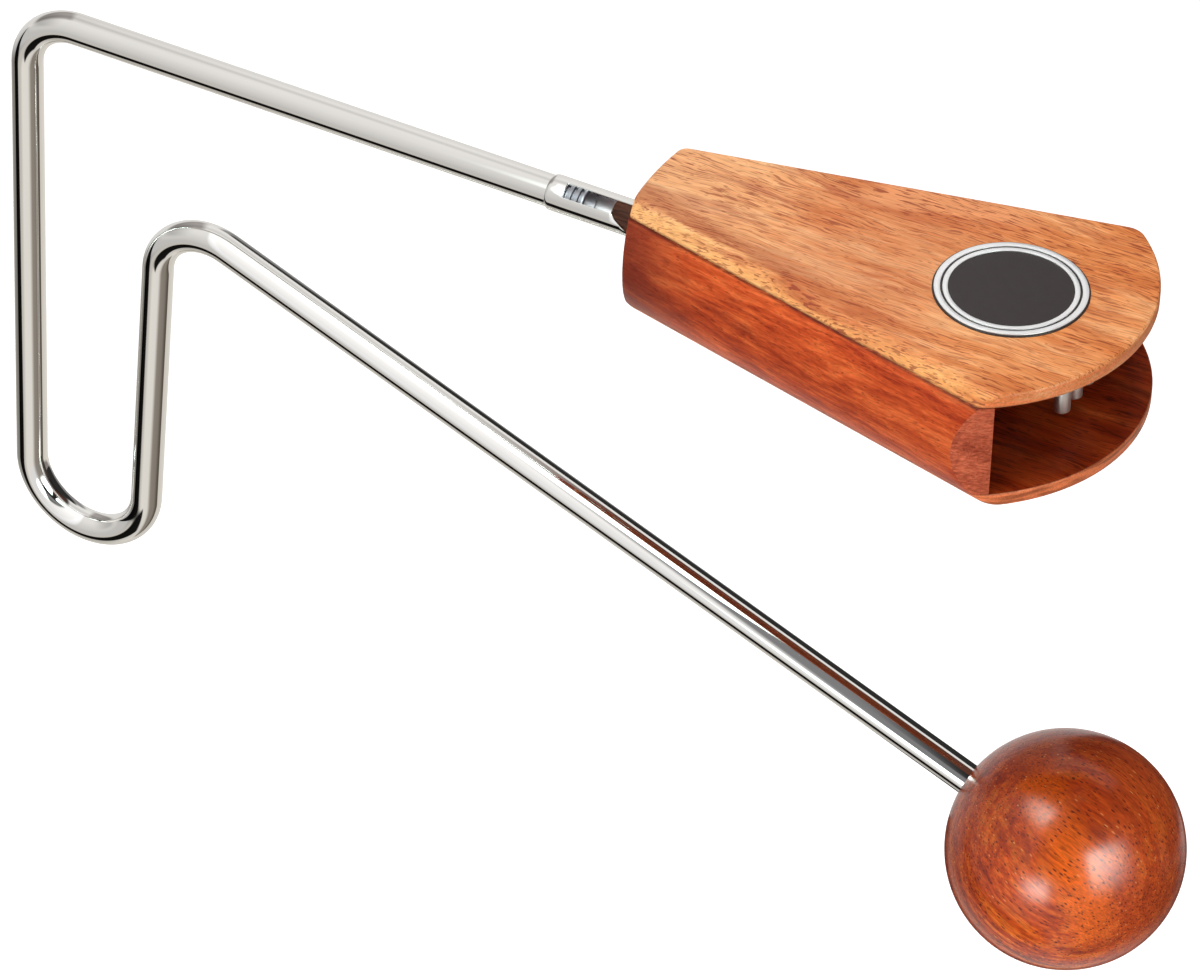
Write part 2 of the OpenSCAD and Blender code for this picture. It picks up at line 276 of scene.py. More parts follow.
def makeFloor():
    material = bpy.data.materials.new("paleFloor")
    tree = emptyTree(material)
    rays = addNode(tree, "ShaderNodeLightPath")
    seen = calc(tree, "MAXIMUM", rays["Is Camera Ray"], rays["Is Glossy Ray"])
    seen = calc(tree, "MAXIMUM", seen, rays["Is Transmission Ray"])
    matt = addNode(tree, "ShaderNodeBsdfDiffuse", {"Color": studio["floorColour"]})[0]
    glow = addNode(tree, "ShaderNodeEmission", {"Strength": times(tree, seen, studio["floorGlow"])})[0]
    both = addNode(tree, "ShaderNodeAddShader", {0: matt, 1: glow})[0]
    addNode(tree, "ShaderNodeOutputMaterial", {"Surface": both})
    half, height = studio["floorWidth"] / 2, studio["floorHeight"]
    floor = stagePiece(material, rectangle((-half, half), (-half, half), (height, height)), [(0, 1, 2, 3)])
    floor.visible_glossy = False


def makeCards():
    for name, card in cards.items():
        material = bpy.data.materials.new(name)
        tree = emptyTree(material)
        across = partsOf(tree, spotOf(tree))[0]
        colour = card["colour"]
        if "second" in card:
            colour = blendColours(tree, softStep(tree, across, *card["turns"]), colour, card["second"])
        share = times(tree, *[softStep(tree, across, *fade) for fade in card["fades"]])
        mirroredPiece(material, card["corners"], [tuple(range(len(card["corners"])))], colour, share)


def makeRestShade():
    material = bpy.data.materials.new("restShade")
    tree = emptyTree(material)
    radius, steps = restShade["radius"], restShade["steps"]
    middle = Vector((ballPlace.x * mm + restShade["shift"][0], restShade["shift"][1], restShade["height"]))
    angles = [math.tau * i / steps for i in range(steps)]
    ring = [middle + Vector((math.cos(angle), math.sin(angle), 0.0)) * radius for angle in angles]
    reach = vectorCalc(tree, "DISTANCE", spotOf(tree), middle, "Value")
    share = softStep(tree, reach, radius, restShade["core"] * radius)
    mirroredPiece(material, ring, [tuple(range(steps))], restShade["colour"], share)


def makeRimShade():
    material = bpy.data.materials.new("rimShade")
    emptyTree(material)
    level, upright, back = axesFacing(view["azimuth"], view["elevation"])
    middle = ballPlace - back * rimShade["behind"]
    points, steps = [], rimShade["steps"]
    for i in range(steps + 1):
        angle = math.radians(rimShade["from"] + (rimShade["to"] - rimShade["from"]) * i / steps)
        side = math.cos(angle) * level + math.sin(angle) * upright
        points += [(middle + side * radius) * mm for radius in rimShade["radii"]]
    faces = [(2 * i, 2 * i + 1, 2 * i + 3, 2 * i + 2) for i in range(steps)]
    mirroredPiece(material, points, faces, rimShade["colour"])


def makeSoftBoxes():
    for name, size in softBoxes.items():
        material = bpy.data.materials.new(name)
        tree = emptyTree(material)
        parts = partsOf(tree, spotOf(tree))
        ends = {key: [side * size["reach"] for side in size[key]] for key in ("x", "y")}
        limits = []
        for key, start, end in size["fades"]:
            least, most = ends[key]
            limits.append((key, least + (most - least) * start, least + (most - least) * end))
        share = fadeOver(tree, {"x": parts[0], "y": parts[1]}, limits)
        corners = rectangle(ends["x"], ends["y"], (0.0, 0.0))
        piece = mirroredPiece(material, corners, [(0, 1, 2, 3)], studio["boxColour"], share, size["glow"])
        turned = Vector(size["towards"]).normalized().to_track_quat("Z", "Y")
        piece.location = ballPlace * mm + turned @ Vector((0.0, 0.0, size["reach"]))
        piece.rotation_euler = turned.to_euler()


def makeSurround():
    scene.world = bpy.data.worlds.new("paleStudio")
    tree = emptyTree(scene.world)
    parts = partsOf(tree, addNode(tree, "ShaderNodeTexCoord")["Generated"])
    front = times(tree, parts[1], -1.0)
    measures = {"x": parts[0], "y": parts[1], "z": parts[2]}
    measures["turn"] = calc(tree, "ARCTAN2", parts[2], front)
    measures["sweep"] = calc(tree, "ARCTAN2", parts[0], front)
    circle = calc(tree, "MULTIPLY_ADD", measures["turn"], 1.0 / math.tau, 0.5)
    tints = studio["ringTint"]
    stops = [(0.5 + angle / 360.0, [grey * tint for tint in tints]) for angle, grey in surroundRing]
    colour = rampOf(tree, circle, stops)
    for factor, limits in surroundParts:
        colour = blendColours(tree, fadeOver(tree, measures, limits), colour, factor, "MULTIPLY")
    rays = addNode(tree, "ShaderNodeLightPath")
    mirrored = calc(tree, "MAXIMUM", rays["Is Glossy Ray"], rays["Is Transmission Ray"])
    white = (1.0, 1.0, 1.0)
    ambient = addNode(tree, "ShaderNodeBackground", {"Color": white, "Strength": studio["ambient"]})[0]
    around = addNode(tree, "ShaderNodeBackground", {"Color": colour, "Strength": 1.0})[0]
    behind = addNode(tree, "ShaderNodeBackground", {"Color": white, "Strength": 1.0})[0]
    lit = addNode(tree, "ShaderNodeMixShader", {0: mirrored, 1: ambient, 2: around})[0]
    shown = addNode(tree, "ShaderNodeMixShader", {0: rays["Is Camera Ray"], 1: lit, 2: behind})[0]
    addNode(tree, "ShaderNodeOutputWorld", {"Surface": shown})


def makeLamps():
    for name, lamp in lamps.items():
        light = bpy.data.lights.new(name, "AREA")
        light.shape = "SQUARE"
        light.size = lamp["width"]
        light.energy = lamp["level"] * (math.pi * lamp["reach"]) ** 2
        holder = bpy.data.objects.new(name, light)
        scene.collection.objects.link(holder)
        towards = Vector(lamp["towards"]).normalized()
        holder.location = ballPlace * mm + towards * lamp["reach"]
        holder.rotation_euler = towards.to_track_quat("Z", "Y").to_euler()
        holder.visible_glossy = False


makeFloor()
makeCards()
makeRestShade()
makeRimShade()
makeSoftBoxes()
makeSurround()
makeLamps()
scene.view_settings.view_transform = "Standard"
print("studio: floor, surround and %d lamps" % len(lamps))


def startMaterial(name):
    material = bpy.data.materials.new(name)
    material.use_nodes = True
    return material, material.node_tree


def endMaterial(material, inputs):
    fillNode(material.node_tree, material.node_tree.nodes["Principled BSDF"], inputs)
    return material


# Slopes that measure a board: along it, towards its two sides, and through its layers.
lengthways = (1.0, 0.0, 0.0)
nearSide = (-0.238, -1.0, 0.0)
farSide = (-0.238, 1.0, 0.0)
upwards = (0.0, 0.0, 1.0)
downwards = (0.0, 0.0, -1.0)


def woodPlaces(tree, look):
    turned = Matrix(look["axes"])  # rows: along the fibres, across them, through the layers
    place = addNode(tree, "ShaderNodeMapping", {
        "Vector": spotOf(tree), "Location": -(turned @ Vector(look["centre"])),
        "Rotation": turned.to_euler(), "Scale": (1.0 / mm,) * 3})[0]
    wavy = place
    for size, strength in (("swaySize", "sway"), ("rippleSize", "ripple")):
        drift = vectorCalc(tree, "SUBTRACT", noiseAt(tree, place, look[size], output=1), (0.5, 0.5, 0.5))
        wavy = vectorCalc(tree, "ADD", wavy, vectorCalc(tree, "MULTIPLY", drift, look[strength]))
    return place, wavy


def woodTone(tree, look, wavy, broad, streak):
    tone = times(tree, broad, 1.0 - look["streakShare"])
    tone = calc(tree, "MULTIPLY_ADD", streak, look["streakShare"], tone)
    stops = [(at, paint(*tint)) for at, tint in zip(look["toneStops"], look["tones"])]
    colour = rampOf(tree, softStep(tree, tone, *look["toneRange"]), stops)
    smoke = noiseAt(tree, wavy, look["smokeSize"], detail=3.0, roughness=0.6)
    smoke = softStep(tree, smoke, *look["smokeRange"])
    return blendColours(tree, times(tree, smoke, look["smokeShare"]), colour, paint(*look["smoke"]))


# Stains and painted shade: patches of another colour, set by slopes through the board; the entries that are
# painted shade or light say so where they are listed.
def woodStainsAndShade(tree, look, colour, place, broad):
    drift = times(tree, calc(tree, "SUBTRACT", broad, 0.5), look["stainSway"])
    for tint, most, limits in look["stains"]:
        share = most
        for slope, start, end in limits:
            measure = calc(tree, "ADD", dot(tree, place, slope), drift)
            share = times(tree, softStep(tree, measure, start, end), share)
        colour = blendColours(tree, share, colour, paint(*tint))
    return colour


def woodEdges(tree, look, colour, place, fibre):
    lengthwise = 1.0  # how far a face lies along the fibres, where pores and flecks show
    if look["rim"]:  # painted shade: a darker line along the far side, on its rounded edge
        tint, most, start, end = look["rim"]
        share = times(tree, softStep(tree, dot(tree, place, farSide), start, end), most)
        colour = blendColours(tree, share, colour, paint(*tint))
    if look["endGrain"]:  # the upright edges are plainer
        tint, most = look["endGrain"]
        facing = addNode(tree, "ShaderNodeTexCoord")["Normal"]
        lift = calc(tree, "ABSOLUTE", partsOf(tree, facing)[2])
        lengthwise = softStep(tree, lift, *look["endFade"])
        layer = softStep(tree, noiseAt(tree, place, look["layerSize"]), *look["layerRange"])
        share = times(tree, softStep(tree, lift, *look["endLift"]), layer, most)
        colour = blendColours(tree, share, colour, paint(*tint))
    if look["seams"]:  # darker where the boards meet, at a height above and below the middle
        tint, most, start, end = look["seams"]
        height = calc(tree, "ABSOLUTE", dot(tree, place, upwards))
        rough = softStep(tree, fibre, *look["seamRange"])
        share = times(tree, softStep(tree, height, start, end), rough, most)
        colour = blendColours(tree, share, colour, paint(*tint))
    return colour, lengthwise


def woodMaterial(name, look):
    material, tree = startMaterial(name)
    place, wavy = woodPlaces(tree, look)
    broad = noiseAt(tree, wavy, look["broadSize"], detail=3.0, roughness=0.55)
    streak = noiseAt(tree, wavy, look["streakSize"], detail=4.0, roughness=0.6)
    fibre = noiseAt(tree, wavy, look["fibreSize"], detail=2.0, roughness=0.6)
    colour = woodTone(tree, look, wavy, broad, streak)
    colour = woodStainsAndShade(tree, look, colour, place, broad)
    colour, lengthwise = woodEdges(tree, look, colour, place, fibre)
    shade = softStep(tree, fibre, *look["fibreRange"], 1.0 - look["fibreDepth"], 1.0 + look["fibreDepth"])
    shades = addNode(tree, "ShaderNodeCombineColor", {0: shade, 1: shade, 2: shade})[0]
    colour = blendColours(tree, 1.0, colour, shades, "MULTIPLY")
    fleck = softStep(tree, noiseAt(tree, wavy, look["fleckSize"], detail=1.0), *look["fleckRange"])
    fleck = times(tree, fleck, softStep(tree, broad, *look["fleckFade"]), lengthwise, look["fleckShare"])
    colour = blendColours(tree, fleck, colour, paint(*look["fleck"]))
    cells = addNode(tree, "ShaderNodeTexVoronoi", {
        "Vector": vectorCalc(tree, "DIVIDE", wavy, look["poreSize"]), "Scale": 1.0, "Randomness": 1.0})
    chance = addNode(tree, "ShaderNodeSeparateColor", {0: cells["Color"]})[0]
    near = softStep(tree, cells["Distance"], *look["poreEdge"])
    pore = times(tree, near, softStep(tree, chance, *look["poreChance"]), lengthwise)
    colour = blendColours(tree, times(tree, pore, look["poreShare"]), colour, paint(*look["pore"]))
    speck = times(tree, near, softStep(tree, chance, *look["speckChance"]), look["speckShare"])
    colour = blendColours(tree, speck, colour, paint(*look["speck"]))
    spread = look["roughSpread"]
    rough = calc(tree, "MULTIPLY_ADD", streak, spread, look["roughness"] - spread / 2)
    rough = calc(tree, "MULTIPLY_ADD", pore, look["poreRoughness"], rough)
    height = calc(tree, "MULTIPLY_ADD", pore, -1.0, times(tree, fibre, look["fibreHeight"]))
    inputs = {"Base Color": colour, "Roughness": rough, "Specular IOR Level": look["shine"],
              "Normal": bumpOf(tree, height, look["bump"], look["bumpDepth"])}
    if look["coat"]:
        weight, softness, strength, depth = look["coat"]
        inputs.update({"Coat Weight": weight, "Coat Roughness": softness,
                       "Coat Normal": bumpOf(tree, height, strength, depth)})
    return endMaterial(material, inputs)


# Wood in general: sizes along the fibres, across them and through the layers, and colours from 0 to 255.
# A range gives where a soft step starts and ends; a fade also gives its first and last value.
woodLook = {
    "axes": (lengthways, (0.0, 1.0, 0.0), upwards), "centre": boxPlace,
    "swaySize": (42.0, 14.0, 9.0), "sway": (0.0, 7.0, 1.5),
    "rippleSize": (9.0, 4.5, 5.0), "ripple": (0.0, 1.4, 0.3),
    "broadSize": (60.0, 11.0, 3.0), "streakSize": (13.0, 1.4, 0.9), "streakShare": 0.36,
    "toneRange": (0.33, 0.66), "toneStops": (0.0, 0.35, 0.7, 1.0),
    "fibreSize": (8.0, 0.36, 0.36), "fibreRange": (0.25, 0.75), "fibreDepth": 0.16, "fibreHeight": 0.4,
    "smokeSize": (30.0, 6.0, 5.0), "smoke": (162, 74, 46), "smokeShare": 0.7, "smokeRange": (0.52, 0.68),
    "fleckSize": (5.2, 0.46, 0.46), "fleckRange": (0.56, 0.63), "fleck": (132, 50, 34), "fleckShare": 0.75,
    "fleckFade": (0.66, 0.40, 0.35, 1.0),
    "poreSize": (2.2, 0.5, 0.5), "poreEdge": (0.34, 0.16), "poreChance": (0.74, 0.84), "pore": (108, 44, 28),
    "poreShare": 0.5, "poreRoughness": 0.2, "speckChance": (0.0, -0.03), "speck": (250, 214, 170),
    "speckShare": 0.6, "stainSway": 12.0, "stains": [], "seams": None, "seamRange": (0.2, 0.6), "rim": None,
    "endGrain": None, "endLift": (0.5, 0.3), "endFade": (0.3, 0.5, 0.25, 1.0), "layerSize": (9.0, 9.0, 1.0),
    "layerRange": (0.35, 0.65, 0.3, 1.0), "roughness": 0.42, "roughSpread": 0.10, "bump": 0.3,
    "bumpDepth": 0.2, "shine": 0.16, "coat": None,
}
plateLook = dict(
    woodLook, toneStops=(0.0, 0.3, 0.65, 1.0),
    tones=[(178, 90, 48), (210, 132, 80), (230, 162, 108), (246, 196, 144)],
    # Lighter near the nose, more orange towards the mouth, a darker band and a lighter strip along the near
    # side, a lighter patch in the far half; the two darker patches along the far rounded edge are painted
    # shade.
    stains=[
        ((234, 184, 136), 0.45, [(lengthways, 50.0, 0.0)]),
        ((214, 128, 66), 0.45, [(lengthways, 50.0, 115.0)]),
        ((196, 112, 68), 0.55, [(lengthways, 25.0, 50.0), (lengthways, 100.0, 70.0)]),
        ((156, 70, 36), 0.55, [(nearSide, 4.5, 8.5), (nearSide, 12.5, 10.5), (lengthways, 80.0, 30.0)]),
        ((246, 184, 108), 0.5, [(nearSide, 10.5, 14.0)]),
        ((140, 62, 36), 0.3, [(farSide, 11.5, 15.0), (lengthways, 10.0, 50.0)]),
        ((240, 170, 118), 0.5, [(farSide, 0.0, 3.5), (farSide, 12.0, 9.0), (lengthways, 40.0, 52.0),
                                (lengthways, 92.0, 78.0)]),
        ((100, 36, 20), 0.8, [(farSide, 9.5, 14.5), (lengthways, 90.0, 112.0)]),
    ],
    # The rim is painted shade: a darker line along the far rounded edge.
    seams=((84, 34, 20), 0.75, 12.95, 12.55), rim=((92, 38, 22), 0.8, 13.9, 15.2),
    endGrain=((234, 126, 72), 0.8),
)
cheekLook = dict(
    woodLook, swaySize=(46.0, 14.0, 10.0), sway=(0.0, 3.0, 4.0), rippleSize=(12.0, 6.0, 5.0),
    ripple=(0.0, 0.6, 0.8), broadSize=(90.0, 16.0, 7.0), streakSize=(36.0, 2.4, 1.1), streakShare=0.55,
    toneRange=(0.34, 0.66), tones=[(146, 46, 20), (180, 68, 30), (200, 84, 38), (220, 106, 54)],
    fibreSize=(9.0, 0.45, 0.34), fibreDepth=0.15,
    smokeSize=(44.0, 10.0, 3.6), smoke=(116, 38, 22), smokeShare=0.5, smokeRange=(0.54, 0.74),
    fleckSize=(11.0, 0.7, 0.42), fleckRange=(0.58, 0.70), fleck=(96, 28, 14), fleckShare=0.6,
    poreSize=(2.2, 0.6, 0.45), poreChance=(0.72, 0.82), pore=(84, 26, 14), poreShare=0.55,
    stainSway=20.0, stains=[((104, 40, 30), 0.75, [(lengthways, 30.0, 2.0)])],
    seams=((60, 20, 12), 0.85, 11.7, 12.2), roughness=0.36, shine=0.12,
)
endLook = dict(
    cheekLook, stains=[], seams=None, broadSize=(20.0, 6.0, 5.0), streakSize=(4.0, 1.6, 0.7),
    tones=[(150, 62, 38), (172, 78, 50), (188, 90, 60), (202, 104, 70)],
    fibreSize=(2.0, 0.8, 0.3), fibreDepth=0.24, smokeShare=0.15,
    fleckSize=(2.0, 1.2, 0.35), fleckRange=(0.56, 0.68), fleck=(112, 42, 26), fleckShare=0.65,
    poreSize=(1.0, 0.5, 0.4), poreChance=(0.6, 0.7), roughness=0.62, shine=0.08, bump=0.5,
)
baseLook = dict(
    woodLook, tones=[(154, 66, 34), (188, 92, 48), (208, 114, 64), (226, 138, 84)],
    # The underside is painted darker: painted shade under the box.
    stains=[((96, 40, 20), 0.8, [(downwards, 9.0, 11.0)])],
    endGrain=((246, 134, 80), 0.9), endLift=(0.97, 0.8),
)
# The inside of the box: darker red-brown wood, darkened further as painted shade inside the box.
shadedInsideLook = dict(
    woodLook, tones=[(122, 34, 8), (154, 50, 14), (180, 70, 24), (208, 100, 46)], toneRange=(0.26, 0.74),
    streakSize=(44.0, 1.6, 1.6), fibreDepth=0.14, smoke=(92, 26, 8), fleck=(70, 20, 6), pore=(60, 18, 6),
    shine=0.06,
)
# The peg's dark browns are painted shade inside the tube.
shadedPegLook = dict(
    woodLook, tones=[(52, 28, 18), (72, 42, 30), (88, 54, 38), (112, 72, 52)],
    smoke=(44, 24, 16), fleck=(36, 20, 14), pore=(36, 20, 14),
)
# where the ball's layers face, and the fibres' slant on them
ballGrain = {"turn": 27.67, "lift": 40.21, "slant": 37.98}


def ballAxes():
    level, upright, layers = axesFacing(ballGrain["turn"], ballGrain["lift"])
    slant = math.radians(ballGrain["slant"])
    along = math.cos(slant) * level - math.sin(slant) * upright
    return (tuple(along), tuple(layers.cross(along)), tuple(layers))


def ballSlope(*way):
    return tuple(Matrix(ballAxes()) @ Vector(way))


ballBand = ballSlope(0.711, 0.636, 0.30)
ballLook = dict(
    woodLook, axes=ballAxes(), centre=ballPlace, swaySize=(26.0, 12.0, 14.0), sway=(0.0, 3.0, 2.2),
    rippleSize=(9.0, 5.0, 5.0), ripple=(0.0, 0.5, 0.5), broadSize=(60.0, 14.0, 4.0),
    streakSize=(40.0, 2.0, 1.2), streakShare=0.5, toneRange=(0.36, 0.62),
    tones=[(134, 38, 8), (178, 62, 12), (202, 80, 18), (222, 108, 34)],
    fibreSize=(3.2, 0.5, 0.5), fibreDepth=0.26,
    smokeSize=(40.0, 14.0, 5.0), smoke=(112, 34, 10), smokeShare=0.42, smokeRange=(0.50, 0.70),
    fleckSize=(9.0, 0.6, 0.6), fleckRange=(0.60, 0.72), fleck=(104, 34, 12), fleckShare=0.6,
    poreSize=(2.4, 0.7, 0.7), poreChance=(0.34, 0.44), pore=(66, 18, 6), poreShare=0.9,
    speckChance=(0.10, 0.07), speck=(244, 160, 90), stainSway=10.0,
    # An orange band across the front; the top darker as painted shade, the left rim darker as painted shade,
    # and the right side a lighter orange-brown as painted light.
    stains=[
        ((236, 104, 18), 0.75, [(upwards, 14.0, 24.0), (ballBand, -9.0, -3.0), (ballBand, 7.0, 2.0)]),
        ((166, 52, 4), 0.5, [(ballSlope(0.0, 0.0, 1.0), 16.0, 28.0)]),
        ((198, 80, 32), 0.5, [(ballSlope(0.886, 0.464, 0.0), 1.0, 15.0)]),
        ((142, 52, 18), 0.4, [(ballSlope(-0.886, -0.464, 0.0), 15.0, 28.0)]),
    ],
    bump=0.15, shine=0.05, coat=(0.8, 0.20, 0.1, 0.1),  # the coat's weight, roughness, bump and its depth
)
plateWood = woodMaterial("plateWood", plateLook)
cheekWood = woodMaterial("cheekWood", cheekLook)
cheekEnd = woodMaterial("cheekEnd", endLook)
baseWood = woodMaterial("baseWood", baseLook)
insideWood = woodMaterial("insideWood", shadedInsideLook)
pegWood = woodMaterial("pegWood", shadedPegLook)
ballWood = woodMaterial("ballWood", ballLook)


def platedMaterial(name, look):
    material, tree = startMaterial(name)
    if look["followsRod"]:
        along = addNode(tree, "ShaderNodeAttribute", attribute_name="along")["Fac"]
        parts = partsOf(tree, addNode(tree, "ShaderNodeAttribute", attribute_name="ring")["Vector"])
        place = addNode(tree, "ShaderNodeCombineXYZ", {0: parts[0], 1: parts[1], 2: along})[0]
    else:
        place = spotInMm(tree)
    lines = noiseAt(tree, place, look["lineSize"], detail=3.0, roughness=0.6)
    colour = blendColours(tree, noiseAt(tree, place, look["cloudSize"]), look["colour"], look["cloudColour"])
    rough = softStep(tree, lines, *look["lineRange"], *look["roughness"])
    if look["followsRod"]:  # the tip is darker and duller
        tipShare = softStep(tree, along, *look["bareTip"])
        colour = blendColours(tree, tipShare, colour, look["bareColour"])
        rough = calc(tree, "MAXIMUM", rough, times(tree, tipShare, look["bareRoughness"]))
    return endMaterial(material, {"Base Color": colour, "Roughness": rough, "Metallic": look["metal"],
                                  "Normal": bumpOf(tree, lines, look["bump"], look["bumpDepth"])})


chromeLook = {"followsRod": True, "lineSize": (0.05, 0.05, 60.0), "cloudSize": (0.8, 0.8, 30.0),
              "lineRange": (0.3, 0.75), "colour": (0.83, 0.82, 0.80), "cloudColour": (0.80, 0.785, 0.76),
              "roughness": (0.02, 0.045), "bump": 0.012, "bumpDepth": 0.05, "metal": 1.0,
              "bareTip": (8.6, 8.0), "bareColour": (0.30, 0.30, 0.33), "bareRoughness": 0.38}
socketLook = dict(chromeLook, followsRod=False, lineSize=(30.0, 0.4, 0.4), cloudSize=(14.0, 3.0, 3.0))
boreLook = dict(socketLook, colour=(0.83, 0.75, 0.76), cloudColour=(0.77, 0.69, 0.71), roughness=(0.34, 0.42),
                bump=0.002)
steelLook = dict(socketLook, colour=(0.62, 0.61, 0.60), cloudColour=(0.52, 0.51, 0.50), roughness=(0.2, 0.38),
                 bump=0.1)
rivetLook = dict(steelLook, lineSize=(1.2, 1.2, 0.5), cloudSize=(2.0, 2.0, 2.0), colour=(0.88, 0.80, 0.77),
                 cloudColour=(0.80, 0.73, 0.71), roughness=(0.32, 0.42), bump=0.006)
silverLook = dict(steelLook, lineSize=(6.0, 0.4, 1.0), cloudSize=(12.0, 12.0, 12.0),
                  colour=(0.96, 0.96, 0.96), cloudColour=(0.90, 0.90, 0.91), roughness=(0.28, 0.34),
                  bump=0.001, metal=0.6)
rodChrome = platedMaterial("rodChrome", chromeLook)
socketChrome = platedMaterial("socketChrome", socketLook)
boreSteel = platedMaterial("boreSteel", boreLook)
dullSteel = platedMaterial("dullSteel", steelLook)
rivetSteel = platedMaterial("rivetSteel", rivetLook)
badgeSilver = platedMaterial("badgeSilver", silverLook)

fieldLook = {"colour": (0.027, 0.020, 0.0195), "groove": (0.032, 0.027, 0.027), "grooves": 3.2,
             "cloudSize": (3.0, 3.0, 3.0), "roughFade": (0.2, 0.8, 0.30, 0.44), "bump": 0.05,
             "bumpDepth": 0.05, "shine": 0.35}


def fieldMaterial(name, look, centre):
    material, tree = startMaterial(name)
    place = addNode(tree, "ShaderNodeMapping", {
        "Vector": spotOf(tree), "Location": (-centre.x, -centre.y, 0.0),
        "Scale": (1.0 / mm, 1.0 / mm, 0.0)})[0]
    reach = vectorCalc(tree, "LENGTH", place, output="Value")
    spun = calc(tree, "SINE", times(tree, reach, look["grooves"] * math.tau))
    spun = calc(tree, "MULTIPLY_ADD", spun, 0.5, 0.5)
    cloud = noiseAt(tree, place, look["cloudSize"], detail=3.0, roughness=0.6)
    return endMaterial(material, {
        "Base Color": blendColours(tree, times(tree, spun, cloud), look["colour"], look["groove"]),
        "Roughness": softStep(tree, cloud, *look["roughFade"]), "Specular IOR Level": look["shine"],
        "Normal": bumpOf(tree, spun, look["bump"], look["bumpDepth"])})


glueLook = {"thin": (150, 122, 98), "thick": (196, 178, 154), "cloudSize": (2.2, 1.4, 1.4),
            "cloudRange": (0.35, 0.65), "roughFade": (0.3, 0.7, 0.35, 0.55), "bump": 0.3, "bumpDepth": 0.2}


def glueMaterial(name, look):
    material, tree = startMaterial(name)
    cloud = noiseAt(tree, spotInMm(tree), look["cloudSize"], detail=3.0, roughness=0.6)
    share = softStep(tree, cloud, *look["cloudRange"])
    return endMaterial(material, {
        "Base Color": blendColours(tree, share, paint(*look["thin"]), paint(*look["thick"])),
        "Roughness": softStep(tree, cloud, *look["roughFade"]),
        "Normal": bumpOf(tree, cloud, look["bump"], look["bumpDepth"])})


driedGlue = glueMaterial("driedGlue", glueLook)
print("materials: wood, plating, steel, badge and glue")

# Points closer than a weld become one; the faces of a copied solid that turn less than copyFlat become one.
meshCare = {"turnedWeld": 0.002, "copyWeld": 0.005, "copyFlat": 0.4}


def startTree(name, sizes):
    tree = bpy.data.node_groups.new(name, "GeometryNodeTree")
    tree.interface.new_socket("Geometry", in_out="INPUT", socket_type="NodeSocketGeometry")
    for label, kind in sizes:
        tree.interface.new_socket(label, in_out="INPUT", socket_type="NodeSocket" + kind)
    tree.interface.new_socket("Geometry", in_out="OUTPUT", socket_type="NodeSocketGeometry")
    return tree, addNode(tree, "NodeGroupInput")


def endTree(tree, geometry, finish):
    real = addNode(tree, "GeometryNodeRealizeInstances", {"Geometry": geometry})[0]
    smooth = addNode(tree, "GeometryNodeSetShadeSmooth", {"Geometry": real})[0]
    dressed = addNode(tree, "GeometryNodeSetMaterial", {"Geometry": smooth, "Material": finish})[0]
    addNode(tree, "NodeGroupOutput", {0: dressed})
    return tree


def sweepTree():
    tree, given = startTree("rodSweep", [("Radius", "Float"), ("Facets", "Int"), ("Finish", "Material")])
    path = addNode(tree, "GeometryNodeMeshToCurve", {"Mesh": given["Geometry"]})[0]
    circle = addNode(tree, "GeometryNodeCurvePrimitiveCircle", {
        "Resolution": given["Facets"], "Radius": given["Radius"]})[0]
    ring = vectorCalc(tree, "NORMALIZE", addNode(tree, "GeometryNodeInputPosition")[0])
    marked = addNode(tree, "GeometryNodeStoreNamedAttribute", {
        "Geometry": circle, "Name": "ring", "Value": ring}, data_type="FLOAT_VECTOR", domain="POINT")[0]
    girth = addNode(tree, "GeometryNodeInputNamedAttribute", {"Name": "girth"}, data_type="FLOAT")[0]
    swept = addNode(tree, "GeometryNodeCurveToMesh", {
        "Curve": path, "Profile Curve": marked, "Scale": girth, "Fill Caps": True})[0]
    return endTree(tree, swept, given["Finish"])


def turnedShape(tree, given):
    profile, segments = given["Geometry"], given["Segments"]
    counts = addNode(tree, "GeometryNodeAttributeDomainSize", {"Geometry": profile}, component="MESH")
    size = counts["Point Count"]
    grid = addNode(tree, "GeometryNodeMeshGrid", {
        "Vertices X": calc(tree, "ADD", segments, 1.0), "Vertices Y": size})[0]
    index = addNode(tree, "GeometryNodeInputIndex")[0]
    around = calc(tree, "FLOOR", calc(tree, "DIVIDE", calc(tree, "ADD", index, 0.5), size))
    step = calc(tree, "SUBTRACT", index, times(tree, around, size))
    angle = times(tree, calc(tree, "DIVIDE", around, segments), math.tau)
    spot = addNode(tree, "GeometryNodeInputPosition")[0]
    point = addNode(tree, "GeometryNodeSampleIndex", {"Geometry": profile, "Value": spot, "Index": step},
                    data_type="FLOAT_VECTOR", domain="POINT")[0]
    parts = partsOf(tree, point)
    place = addNode(tree, "ShaderNodeCombineXYZ", {
        0: times(tree, parts[0], calc(tree, "COSINE", angle)),
        1: times(tree, parts[0], calc(tree, "SINE", angle)), 2: parts[2]})[0]
    moved = addNode(tree, "GeometryNodeSetPosition", {"Geometry": grid, "Position": place})[0]
    weld = meshCare["turnedWeld"] * mm
    return addNode(tree, "GeometryNodeMergeByDistance", {"Geometry": moved, "Distance": weld})[0]


def inARow(tree, shape, given):
    spots = addNode(tree, "GeometryNodeMeshLine", {
        "Count": given["Count"], "Start Location": given["First"], "Offset": given["Step"]}, mode="OFFSET")[0]
    turned = addNode(tree, "FunctionNodeEulerToRotation", {0: given["Turn"]})[0]
    return addNode(tree, "GeometryNodeInstanceOnPoints", {
        "Points": spots, "Instance": shape, "Rotation": turned})[0]


rowSizes = [("Segments", "Int"), ("First", "Vector"), ("Step", "Vector"), ("Count", "Int"),
            ("Turn", "Vector"), ("Finish", "Material")]


def turnedTree():
    tree, given = startTree("turnedRow", rowSizes)
    return endTree(tree, inARow(tree, turnedShape(tree, given), given), given["Finish"])


